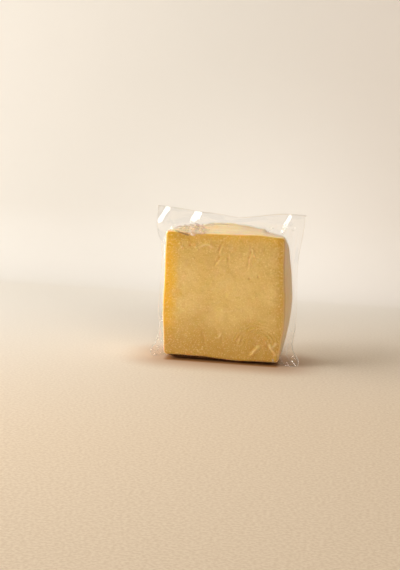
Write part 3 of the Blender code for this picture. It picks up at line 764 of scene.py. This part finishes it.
def cheese_shades(points, at, drawn):
    """What the cheese's material needs at each point, where drawn is the height of its dents and ridges."""
    across, up = at.on_face * at.dx, at.on_face * at.dz
    # Golden edges: partly the paste's own colour, partly painted glow of the light from the upper left
    golden_and_lit_sides = ((GOLDEN_AND_LIT_LEFT, 1 + across), (GOLDEN_AND_LIT_TOP, 1 - up))
    # Painted shade at the cut face's right, foot and top
    shaded_sides = ((SHADE_RIGHT, 1 - across), (SHADE_FOOT, 1 + up), (SHADE_TOP, 1 - up))
    # The heap of film's painted shadow on the paste
    painted_heap_shadow = HEAP_SHADOW * spot(points[..., 0], points[..., 2], *HEAP_SHADOW_MIDDLE, *HEAP_SHADOW_SIZE)
    # Painted light on the ridges, and a painted highlight line along the right edge's film ridge
    raised = drawn / RIDGE_LIGHT_FULL + edge_line(at, EDGE_RIDGE_TURN)
    return {"golden": rim_shade(points, golden_and_lit_sides),
            "deep": np.maximum(rim_shade(points, shaded_sides), painted_heap_shadow),
            "cut": (1 - ramp(at.turn, 0.5, 1.2)) * at.front,
            # A painted dark line of shade along the right edge
            "line": edge_line(at, EDGE_GROOVE_TURN) * at.front,
            # Painted shade in the dents' hollows
            "hollow": np.clip(-drawn / HOLLOW_SHADE_FULL, 0, 1) * at.front,
            "raised": np.clip(raised, 0, 1) * at.front}


def joined_shades(shades):
    """The front and the back web's numbers for each point, one after the other."""
    return {key: np.concatenate([half[key].ravel() for half in shades]) for key in shades[0]}


def webs(cells, ends, fillet):
    """The grids of the front and the back web, each with the block's surface and its normals there.

    The front one has twice the lines of the back one.
    """
    lines = grid_lines(cells, ends)
    for front, used in ((True, lines), (False, lines[::2])):
        u, v = np.meshgrid(used, used, indexing="ij")
        points, at = block_web(u, v, front, fillet)
        yield u, v, points, at, grid_normals(points) * (1 if front else -1)


def make_cheese():
    """The block itself."""
    halves, shades = [], []
    cells, ends = (FACE_CELLS, EDGE_CELLS, SIDE_CELLS), (FACE_END, EDGE_END, SIDE_END)
    for _, _, points, at, normal in webs(cells, ends, 0):
        drawn = dents(points[..., 0], points[..., 2] - BLOCK_LIFT)
        relief = surface_relief(points, at, CHEESE_DENTS) * (1 - ramp(at.down_side, *RELIEF_ENDS))
        inset = CHEESE_INSET * (1 - ramp(at.down_side, *INSET_ENDS))
        points = points + normal * (relief - inset)[..., None]
        halves.append(points)
        shades.append(cheese_shades(points, at, drawn))
    return closed_mesh("cheese", *halves, joined_shades(shades))


def film_shades(points, at):
    """Per point for the film's material: heap, painted shade in creases, painted highlights, open air."""
    x, height = points[..., 0], points[..., 2] - BLOCK_LIFT
    in_margin = at.ring > MARGIN_START
    on_block = ~in_margin * at.front
    out = (at.ring - SIDE_END) / (1 - SIDE_END)
    heap = HEAP_SHARE * heaped(x, at.towards_root) * in_top_quarter(at) * ramp(at.turn, 0, 0.6)
    heap = (heap + overhang(x, height)[0]) * on_block
    above = in_top_quarter(at) * (height > CREASES_FROM)
    top_crease = creased(x, top_climb(height, at.towards_root), TOP_CREASES)[0] * on_block
    margin_crease = creased(x, height, MARGIN_CREASES)[0] * in_margin
    on_sides = (np.abs(at.dx) > np.abs(at.dz)) * ramp(at.turn, 0.6, 1.2) * ~in_margin
    on_face = (at.turn < 1.2) * on_block
    # Painted highlights on the margin and on the cut face
    white = highlighted(x, height, MARGIN_HIGHLIGHTS) * in_margin + highlighted(x, height, FACE_HIGHLIGHTS) * on_face
    return {"layers": ramp(out, BEAD_START, BEAD_END), "heap": np.clip(heap, 0, 1), "white": white,
            "crease": above * (top_crease + margin_crease), "open_air": 1.0 - on_sides}


def make_film():
    """The pouch: a front and a back web, joined along the margin's outer edge."""
    cells, ends = (FACE_CELLS, EDGE_CELLS, SIDE_CELLS, MARGIN_CELLS), (FACE_END, EDGE_END, SIDE_END, 1)
    halves, shades = [], []
    for u, v, points, at, normal in webs(cells, ends, ROOT_FILLET):
        relief = surface_relief(points, at, FILM_DENTS) * (1 - ramp(at.down_side, *RELIEF_ENDS))
        points = points + normal * (relief + film_lift(points, at))[..., None]
        if at.front:
            on_top = in_top_quarter(at) * ramp(at.turn, GATHER_START, math.pi / 2)
            climb = top_climb(points[..., 2] - BLOCK_LIFT, at.towards_root)
            sunk = creased(points[..., 0], climb, TOP_CREASES)[1]
            points[..., 2] += (gathered(points[..., 0], at.towards_root) - sunk) * on_top
        points = np.where((at.ring > MARGIN_START)[..., None], margin_web(u, v, at.front), points)
        points[..., 2] = np.maximum(points[..., 2], TABLE_GAP)
        halves.append(points)
        shades.append(film_shades(points, at))
    return closed_mesh("film", *halves, joined_shades(shades))


def make_ear(name, ear):
    """A loose, crumpled corner of the film."""
    length, width = np.meshgrid(*(np.linspace(0, 1, cells + 1) for cells in EAR_CELLS), indexing="ij")
    middle = ear_sheet(ear, length, width)
    x, y, z = np.moveaxis(middle, -1, 0)
    crumple = sum(height * creases(across, y, size, seed)
                  for across, (height, size, seed) in zip((x + z, x - z), EAR_CRUMPLES))
    crumple = crumple * ramp(length, 0, 0.25)
    middle = middle + grid_normals(middle) * crumple[..., None]
    middle[..., 1] = np.minimum(middle[..., 1], MARGIN_Y - EAR_TO_MARGIN)
    middle[..., 2] = np.maximum(middle[..., 2], (FILM_THICKNESS + EDGE_BEAD) / 2 + TABLE_GAP)
    rim = np.minimum(np.minimum(1 - width, width * 4), (1 - length) * 3)
    edge = 1 - ramp(rim, 0.01, 0.04)
    half = (FILM_THICKNESS + EDGE_BEAD * edge) / 2
    normal = grid_normals(middle) * half[..., None]
    # A painted highlight along the ear's edges
    white = np.tile(EAR_EDGE_HIGHLIGHT * edge.ravel(), 2)
    none = np.zeros(len(white))
    shades = {"layers": none, "heap": none, "crease": none, "white": white, "open_air": none + 1}
    return closed_mesh(name, middle + normal, middle - normal, shades)


def make_fold():
    """The folded bottom margin: layers of film, one above the other, that bulge out at their folds."""
    way = np.linspace(0, 8, FOLD_ROUND_STEPS, endpoint=False)
    dx = np.clip(np.abs((way + 2) % 8 - 4) - 2, -1, 1)
    dz = np.clip(np.abs(way % 8 - 4) - 2, -1, 1)
    x, y = rounded_rectangle(dx, dz, FOLD_WIDTH / 2, FOLD_DEPTH / 2, FOLD_CORNER_RADIUS)
    level = np.linspace(0, 1, FOLD_LAYERS * FOLD_LAYER_STEPS + 1)[:, None]
    bulge = np.abs(np.sin(math.pi * FOLD_LAYERS * level))
    uneven = wobble(x, y, level * FOLD_UNEVEN_BY_LEVEL, FOLD_UNEVEN_SIZE, 61)
    inset = FOLD_FOOT_INSET * (1 - level) - FOLD_BULGE * level - FOLD_LAYER_BULGE * bulge
    inset = inset + FOLD_UNEVEN * uneven
    shrink_x, shrink_y = 1 - inset / (FOLD_WIDTH / 2), 1 - inset / (FOLD_DEPTH / 2)
    z = TABLE_GAP + (BLOCK_LIFT - 2 * TABLE_GAP) * level
    z = z + FOLD_WAVE * wobble(x, y, 0, FOLD_WAVE_SIZE, 62) * np.sin(math.pi * level)
    y = y * shrink_y
    y = np.where(y > 0, y * FOLD_BACK_SHARE, y)
    rings = np.stack(np.broadcast_arrays(x * shrink_x, y, z), axis=-1)
    count = len(level)
    index = np.arange(count * FOLD_ROUND_STEPS).reshape(count, FOLD_ROUND_STEPS)
    after = np.roll(index, -1, axis=1)
    faces = np.stack([index[:-1], after[:-1], after[1:], index[1:]], axis=-1).reshape(-1, 4).tolist()
    faces += [index[0, ::-1].tolist(), index[-1].tolist()]
    return add_piece("film_fold", rings.reshape(-1, 3), faces)


# ---------------- materials

# Colours, with a darker and a lighter one where they are mottled, and the wall's at its left and right
PASTE = ((0.69, 0.48, 0.15), (0.735, 0.53, 0.19))
# The golden edge colour is partly the paste's own and partly painted glow; the other is painted shade
GOLDEN_AND_LIT_PASTE, SHADED_PASTE = (0.8, 0.465, 0.015), (0.55, 0.325, 0.05)
LIGHT_SPECK, DARK_SPECK = (0.93, 0.74, 0.38), (0.56, 0.31, 0.05)
# Painted shade for the dents' hollows and painted light for the ridges
SHADED_HOLLOW_PASTE, LIT_RIDGE_PASTE = (0.58, 0.29, 0.06), (0.98, 0.8, 0.46)
RIND = ((0.96, 0.69, 0.37), (0.995, 0.785, 0.48))
# A painted dark line of shade along the cut face's right edge
PAINTED_EDGE_SHADE = (0.52, 0.29, 0.06)
CLEAR_FILM, HEAPED_FILM = (0.97, 0.96, 0.94), (0.85, 0.72, 0.61)
# Painted dark reflection and shade for the creases, and a white for painted highlights
PAINTED_CREASE_SHADE, HIGHLIGHT_WHITE = (0.33, 0.19, 0.13), (0.99, 0.98, 0.96)
FOLD_IN_FRONT = ((0.12, 0.055, 0.02), (0.2, 0.1, 0.038))
FOLD_BEHIND = ((0.64, 0.48, 0.28), (0.78, 0.64, 0.43))
FLOOR = ((0.725, 0.59, 0.44), (0.815, 0.69, 0.535))
# Painted light on the far floor, painted shade near the pack and a painted contact shadow at its foot
PAINTED_LIT_FLOOR, FLOOR_SHADE_NEARBY, FOOT_CONTACT_SHADOW = (0.74, 0.715, 0.665), (0.53, 0.37, 0.257), (0.33, 0.14, 0.03)
# Painted light across the wall, lighter towards its right
WALL = ((0.73, 0.705, 0.665), (0.78, 0.735, 0.69))

RIND_BANDS = (22.0, 260.0, 60.0)  # the rind's soft bands run across the block, so they are drawn out along x
# How much the film mirrors face on and how much more at a grazing angle: the least and the most
MIRROR_FACE_ON, MIRROR_GRAZING = (0.055, 0.3), (0.08, 0.38)
# How much the film hides where it is heaped, or has painted shade in creases or a painted highlight
VEIL_OF_HEAP, VEIL_OF_CREASE_SHADE, VEIL_OF_HIGHLIGHT = 0.5, 0.62, 0.85
# How specks and places turn into shares of a colour: (from, to, the share at the first, at the second)
LIGHT_SPECKS, DARK_SPECKS = (0.55, 0.68, 0.0, 0.48), (0.46, 0.3, 0.0, 0.38)
# Share of painted light on the floor towards the back and left
PAINTED_LIGHT_SHARE = (-0.42, 0.45, 0.0, 0.9)
# Shares of painted shade near the pack and of painted contact shadow at its foot
NEARBY_SHADE_SHARE, CONTACT_SHADOW_SHARE = (0.0, 0.06, 1.0, 0.0), (0.0, 0.006, 0.9, 0.0)
FOLD_CLEARS = (-0.024, -0.008)  # the folded film turns from shaded to pale between these places along y


def new_material(name):
    """An empty material of nodes."""
    material = bpy.data.materials.new(name)
    material.use_nodes = True
    material.node_tree.nodes.clear()
    return material


def node(m, kind, values=None, **links):
    """A new shader node, with settings or input values by name or number, and links to its inputs."""
    made = m.node_tree.nodes.new("ShaderNode" + kind)
    for key, value in (values or {}).items():
        if isinstance(key, str) and hasattr(made, key) and key not in made.inputs:
            setattr(made, key, value)
        else:
            made.inputs[key].default_value = value
    for key, socket in links.items():
        target = int(key[1:]) if key[0] == "i" and key[1:].isdigit() else key.replace("_", " ")
        m.node_tree.links.new(socket, made.inputs[target])
    return made


def finish_material(m, shader):
    """The material with the shader as its surface."""
    node(m, "OutputMaterial", Surface=shader.outputs[0])
    return m


def maths(m, operation, *operands, kind="Math", output=0):
    """What a Math node makes of its operands, which are sockets or fixed values."""
    made = node(m, kind, {"operation": operation})
    for target, operand in zip(made.inputs, operands):
        if isinstance(operand, bpy.types.NodeSocket):
            m.node_tree.links.new(operand, target)
        else:
            target.default_value = operand
    return made.outputs[output]


def vector_maths(m, operation, *operands):
    """The same for vectors, where some operations give a single number."""
    single = operation in ("DOT_PRODUCT", "DISTANCE", "LENGTH")
    return maths(m, operation, *operands, kind="VectorMath", output=int(single))


def mapped(m, socket, low=0.0, high=1.0, to_low=0.0, to_high=1.0):
    """A socket's value taken smoothly from the range low..high to the range to_low..to_high."""
    made = node(m, "MapRange", {
        "interpolation_type": "SMOOTHSTEP", "From Min": low, "From Max": high, "To Min": to_low,
        "To Max": to_high}, Value=socket)
    return made.outputs[0]


def mixed(m, share, first, second):
    """Colour first turned into colour second by a share, where each is a socket or a fixed colour."""
    made = node(m, "Mix", {"data_type": "RGBA"}, Factor=share)
    for target, colour in (("A", first), ("B", second)):
        socket = [s for s in made.inputs if s.name == target and s.type == "RGBA"][0]
        if isinstance(colour, tuple):
            socket.default_value = (*colour, 1)
        else:
            m.node_tree.links.new(colour, socket)
    return [s for s in made.outputs if s.type == "RGBA"][0]


def object_place(m):
    """The place on the object."""
    return node(m, "TexCoord").outputs["Object"]


def attributes(m, *names):
    """The numbers that the mesh has at each point under these names."""
    return [node(m, "Attribute", {"attribute_name": name}).outputs["Fac"] for name in names]


def noise(m, where, scale, detail):
    """Cloudy noise, mostly between 0.3 and 0.7."""
    return node(m, "TexNoise", {"Scale": scale, "Detail": detail}, Vector=where).outputs[0]


def mottled(m, where, scale, detail, dark, light, reach=0.15):
    """A colour that varies softly from dark to light."""
    cloudy = noise(m, where, scale, detail)
    return mixed(m, mapped(m, cloudy, 0.5 - reach, 0.5 + reach), dark, light)


def bumped(m, height, strength, distance):
    """The normal of a surface with this height as its bumps."""
    return node(m, "Bump", {"Strength": strength, "Distance": distance}, Height=height).outputs[0]


def cheese_material():
    """Mottled, speckled golden paste, yellower at left and top, with painted shade at right and bottom."""
    m = new_material("kashkaval")
    where = object_place(m)
    golden, deep, cut = attributes(m, "golden", "deep", "cut")
    line, hollow, raised = attributes(m, "line", "hollow", "raised")
    fine = noise(m, where, 780.0, 3.0)
    paste = mottled(m, where, 42.0, 4.0, *PASTE)
    # Golden edges: partly the paste's own colour, partly painted glow of the light from the upper left
    paste = mixed(m, golden, paste, GOLDEN_AND_LIT_PASTE)
    # Painted shade at the right, foot and top edges, and the heap of film's painted shadow
    paste = mixed(m, deep, paste, SHADED_PASTE)
    paste = mixed(m, mapped(m, fine, *LIGHT_SPECKS), paste, LIGHT_SPECK)
    paste = mixed(m, mapped(m, fine, *DARK_SPECKS), paste, DARK_SPECK)
    # Painted shade in the dents' hollows and painted light on the ridges
    paste = mixed(m, mapped(m, hollow, to_high=0.4), paste, SHADED_HOLLOW_PASTE)
    paste = mixed(m, mapped(m, raised, to_high=0.28), paste, LIT_RIDGE_PASTE)
    rind = mottled(m, vector_maths(m, "MULTIPLY", where, RIND_BANDS), 1.0, 2.0, *RIND, reach=0.18)
    # A painted dark line of shade along the cut face's right edge
    colour = mixed(m, line, mixed(m, cut, rind, paste), PAINTED_EDGE_SHADE)
    shader = node(m, "BsdfPrincipled", {
        "Roughness": 0.42, "Specular IOR Level": 0.35, "Subsurface Weight": 0.8,
        "Subsurface Radius": (1.0, 0.45, 0.12), "Subsurface Scale": 0.004}, Base_Color=colour,
        Normal=bumped(m, noise(m, where, 750.0, 3.0), 0.4, 0.0004))
    return finish_material(m, shader)


def film_material():
    """Clear glossy film: it mirrors little face on, more at a grazing angle, and most at its cut edge."""
    m = new_material("pouch_film")
    normal = bumped(m, noise(m, object_place(m), 210.0, 4.0), 0.16, 0.0006)
    layers, heap, crease, white, open_air = attributes(m, "layers", "heap", "crease", "white", "open_air")
    facing = node(m, "LayerWeight", {"Blend": 0.5}, Normal=normal).outputs["Facing"]
    grazing = maths(m, "POWER", facing, 5.0)
    face_on = mapped(m, layers, 0.0, 1.0, *MIRROR_FACE_ON)
    most = mapped(m, open_air, 0.0, 1.0, *MIRROR_GRAZING)
    mirror = maths(m, "MULTIPLY_ADD", grazing, most, face_on)
    veil_of_heap = mapped(m, heap, to_high=VEIL_OF_HEAP)
    veil_of_crease = mapped(m, crease, to_high=VEIL_OF_CREASE_SHADE)
    veil_of_highlight = mapped(m, white, to_high=VEIL_OF_HIGHLIGHT)
    veil = maths(m, "MAXIMUM", maths(m, "MAXIMUM", veil_of_heap, veil_of_crease), veil_of_highlight)
    colour = mixed(m, mapped(m, heap, 0.0, 0.4), CLEAR_FILM, HEAPED_FILM)
    # Painted dark reflection and shade in the creases
    colour = mixed(m, mapped(m, crease, 0.1, 0.8), colour, PAINTED_CREASE_SHADE)
    # Painted highlights as white marks
    colour = mixed(m, mapped(m, white, 0.0, 0.3), colour, HIGHLIGHT_WHITE)
    shader = node(m, "BsdfPrincipled", {"Roughness": 0.11}, Base_Color=colour, Normal=normal,
                  Alpha=maths(m, "MAXIMUM", mirror, veil), Metallic=mapped(m, veil, 0.0, 0.4, 1.0, 0.15))
    return finish_material(m, shader)


def fold_material():
    """Layers of film: in the cut face's shade in front, and pale with the rind behind them at the back."""
    m = new_material("folded_film")
    where = object_place(m)
    in_front = mottled(m, where, 120.0, 3.0, *FOLD_IN_FRONT)
    behind = mottled(m, where, 120.0, 3.0, *FOLD_BEHIND)
    y = node(m, "SeparateXYZ", i0=where).outputs["Y"]
    colour = mixed(m, mapped(m, y, *FOLD_CLEARS), in_front, behind)
    shader = node(m, "BsdfPrincipled", {"Roughness": 0.55, "Specular IOR Level": 0.1, "Alpha": 0.95},
                  Base_Color=colour)
    return finish_material(m, shader)


def away_from_foot(m, where):
    """How far a place of the floor is from the strip of floor at the foot of the cut face."""
    beside = vector_maths(m, "ABSOLUTE", vector_maths(m, "SUBTRACT", where, FOOT_MIDDLE))
    over = vector_maths(m, "SUBTRACT", beside, FOOT_HALF_SIZE)
    return vector_maths(m, "LENGTH", vector_maths(m, "MAXIMUM", over, (0, 0, 0)))


def stage_material():
    """Beige floor, paler towards the back by painted light, turning into an off-white wall that glows softly.

    The faces look towards the pack and are clear on their far side, so that the wall never hides the pack.
    """
    m = new_material("stage")
    where = object_place(m)
    place = node(m, "SeparateXYZ", i0=where)
    far_left = vector_maths(m, "DOT_PRODUCT", where, FAR_LEFT)
    floor = mottled(m, where, 380.0, 4.0, *FLOOR)
    # Painted light: the floor is paler towards the back and the left
    floor = mixed(m, mapped(m, far_left, *PAINTED_LIGHT_SHARE), floor, PAINTED_LIT_FLOOR)
    nearby = away_from_foot(m, where)
    # Painted shade near the pack's foot, and a painted contact shadow right at it
    floor = mixed(m, mapped(m, nearby, *NEARBY_SHADE_SHARE), floor, FLOOR_SHADE_NEARBY)
    floor = mixed(m, mapped(m, nearby, *CONTACT_SHADOW_SHARE), floor, FOOT_CONTACT_SHADOW)
    # Painted light across the wall, lighter towards its right
    wall = mixed(m, mapped(m, place.outputs["X"], -0.15, 0.35), *WALL)
    colour = mixed(m, mapped(m, place.outputs["Y"], FLOOR_END - 0.02, FLOOR_END + 0.04), floor, wall)
    glow = mapped(m, vector_maths(m, "DISTANCE", where, GLOW_CENTRE), 0.0, GLOW_REACH, WALL_GLOW, 0.0)
    surface = node(m, "BsdfPrincipled", {"Roughness": 0.85, "Emission Color": (1, 0.98, 0.94, 1)},
                   Base_Color=colour, Emission_Strength=glow)
    far_side = node(m, "NewGeometry").outputs["Backfacing"]
    clear = node(m, "BsdfTransparent")
    return finish_material(m, node(m, "MixShader", i0=far_side, i1=surface.outputs[0], i2=clear.outputs[0]))


# ---------------- stage, lights and camera

FLOOR_END = 0.4
SWEEP_RADIUS = 0.1
WALL_GLOW = 0.13  # the wall's foot glows by this much behind the pack, besides what the lights give
GLOW_CENTRE = (0.0, 0.5, 0.03)
GLOW_REACH = 0.32
# Painted shadow: the floor is darker at and round a strip at the pack's foot
FOOT_MIDDLE = (0.0, -0.013, 0.0)  # the floor is darker at and round a strip with this middle
FOOT_HALF_SIZE = (0.056, 0.02, 0.0)
# Painted light makes the floor palest in this direction
FAR_LEFT = (-0.5, 1.0, 0.0)  # the floor is palest in this direction
STAGE_FRONT, STAGE_HALF_WIDTH, WALL_HEIGHT, SWEEP_STEPS = -2.5, 3.0, 2.2, 16

# Softboxes aimed at the pack. Azimuth 0 is in front of the cut face and -90 is on its left
LIGHTS = [
    {"name": "key", "azimuth": -82, "elevation": 38, "distance": 1.4, "size": (1.25, 0.7),
     "radiance": 3.6, "colour": (1.0, 0.97, 0.93), "spread": 150, "mirrored": False},
    {"name": "window", "azimuth": -58, "elevation": 16, "distance": 1.9, "size": (0.9, 1.1),
     "radiance": 3.0, "colour": (1.0, 0.99, 0.97), "spread": 120, "mirrored": True},
    {"name": "fill", "azimuth": 28, "elevation": 22, "distance": 2.4, "size": (1.6, 0.9),
     "radiance": 1.75, "colour": (1.0, 0.92, 0.8), "spread": 120, "mirrored": False},
]
WORLD_COLOUR, WORLD_STRENGTH = (1.0, 0.8, 0.58, 1), 0.165


def make_stage():
    """A pale floor that sweeps up into a pale wall behind the pack."""
    profile = [(STAGE_FRONT, 0.0)]
    for a in np.linspace(0, math.pi / 2, SWEEP_STEPS + 1):
        profile.append((FLOOR_END + SWEEP_RADIUS * math.sin(a), SWEEP_RADIUS * (1 - math.cos(a))))
    profile.append((FLOOR_END + SWEEP_RADIUS, WALL_HEIGHT))
    points = np.array([(x, y, z) for x in (-STAGE_HALF_WIDTH, STAGE_HALF_WIDTH) for y, z in profile])
    n = len(profile)
    stage = add_piece("stage", points, [(i, i + n, i + n + 1, i + 1) for i in range(n - 1)])
    stage.data.materials.append(stage_material())


def direction(azimuth, elevation):
    """The direction from the pack to a light or the camera."""
    a, e = math.radians(azimuth), math.radians(elevation)
    return Vector((math.sin(a) * math.cos(e), -math.cos(a) * math.cos(e), math.sin(e)))


def soft_light(name, azimuth, elevation, distance, size, radiance, colour, spread, mirrored):
    """One softbox. Its radiance stays the same whatever its size."""
    towards = direction(azimuth, elevation)
    data = bpy.data.lights.new(name, "AREA")
    data.shape = "RECTANGLE"
    data.size, data.size_y = size
    data.energy = radiance * math.pi * size[0] * size[1]
    data.color = colour
    data.spread = math.radians(spread)
    lamp = bpy.data.objects.new(name, data)
    lamp.location = Vector((0, 0, CENTRE_Z)) + towards * distance
    lamp.rotation_mode = "QUATERNION"
    lamp.rotation_quaternion = (-towards).to_track_quat("-Z", "Y")
    lamp.visible_glossy = mirrored
    bpy.context.scene.collection.objects.link(lamp)


def make_lights():
    """The softboxes and a dim warm world."""
    for light in LIGHTS:
        soft_light(**light)
    world = bpy.data.worlds.new("studio")
    world.use_nodes = True
    background = world.node_tree.nodes["Background"]
    background.inputs["Color"].default_value = WORLD_COLOUR
    background.inputs["Strength"].default_value = WORLD_STRENGTH
    bpy.context.scene.world = world


def make_camera():
    """A long lens, turned a little to the block's right, that puts the cut face where the photo has it."""
    back = direction(CAMERA_AZIMUTH, CAMERA_ELEVATION)
    face = Vector((0, -BLOCK_DEPTH / 2, CENTRE_Z))
    focal_pixels = CAMERA_DISTANCE / METRES_PER_PIXEL
    aim = (-back).to_track_quat("-Z", "Y").to_matrix()
    aside = (FACE_PIXEL[0] - PHOTO_WIDTH / 2) / focal_pixels
    below = (FACE_PIXEL[1] - PHOTO_HEIGHT / 2) / focal_pixels
    turn = (Matrix.Rotation(math.radians(CAMERA_ROLL), 3, "Z") @ Matrix.Rotation(math.atan(aside), 3, "Y")
            @ Matrix.Rotation(math.atan(below), 3, "X"))
    data = bpy.data.cameras.new("camera")
    data.lens = focal_pixels * data.sensor_width / PHOTO_HEIGHT
    camera = bpy.data.objects.new("camera", data)
    camera.matrix_world = Matrix.Translation(face + back * CAMERA_DISTANCE) @ (aim @ turn).to_4x4()
    bpy.context.scene.collection.objects.link(camera)
    bpy.context.scene.camera = camera
    bpy.context.scene.view_settings.view_transform = "Standard"


def main():
    """Everything in the scene, and what each piece of the pack rides on and replaces."""
    make_camera()
    make_stage()
    make_lights()
    cheese, fold, film_look = make_cheese(), make_fold(), film_material()
    cheese.data.materials.append(cheese_material())
    fold.data.materials.append(fold_material())
    film_pieces = [make_film(), *(make_ear(name, ear) for name, ear in EARS.items())]
    for piece in film_pieces:
        piece.data.materials.append(film_look)
    for piece in (cheese, fold, *film_pieces):
        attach(piece, "root")
        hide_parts("cheese_pack")


main()
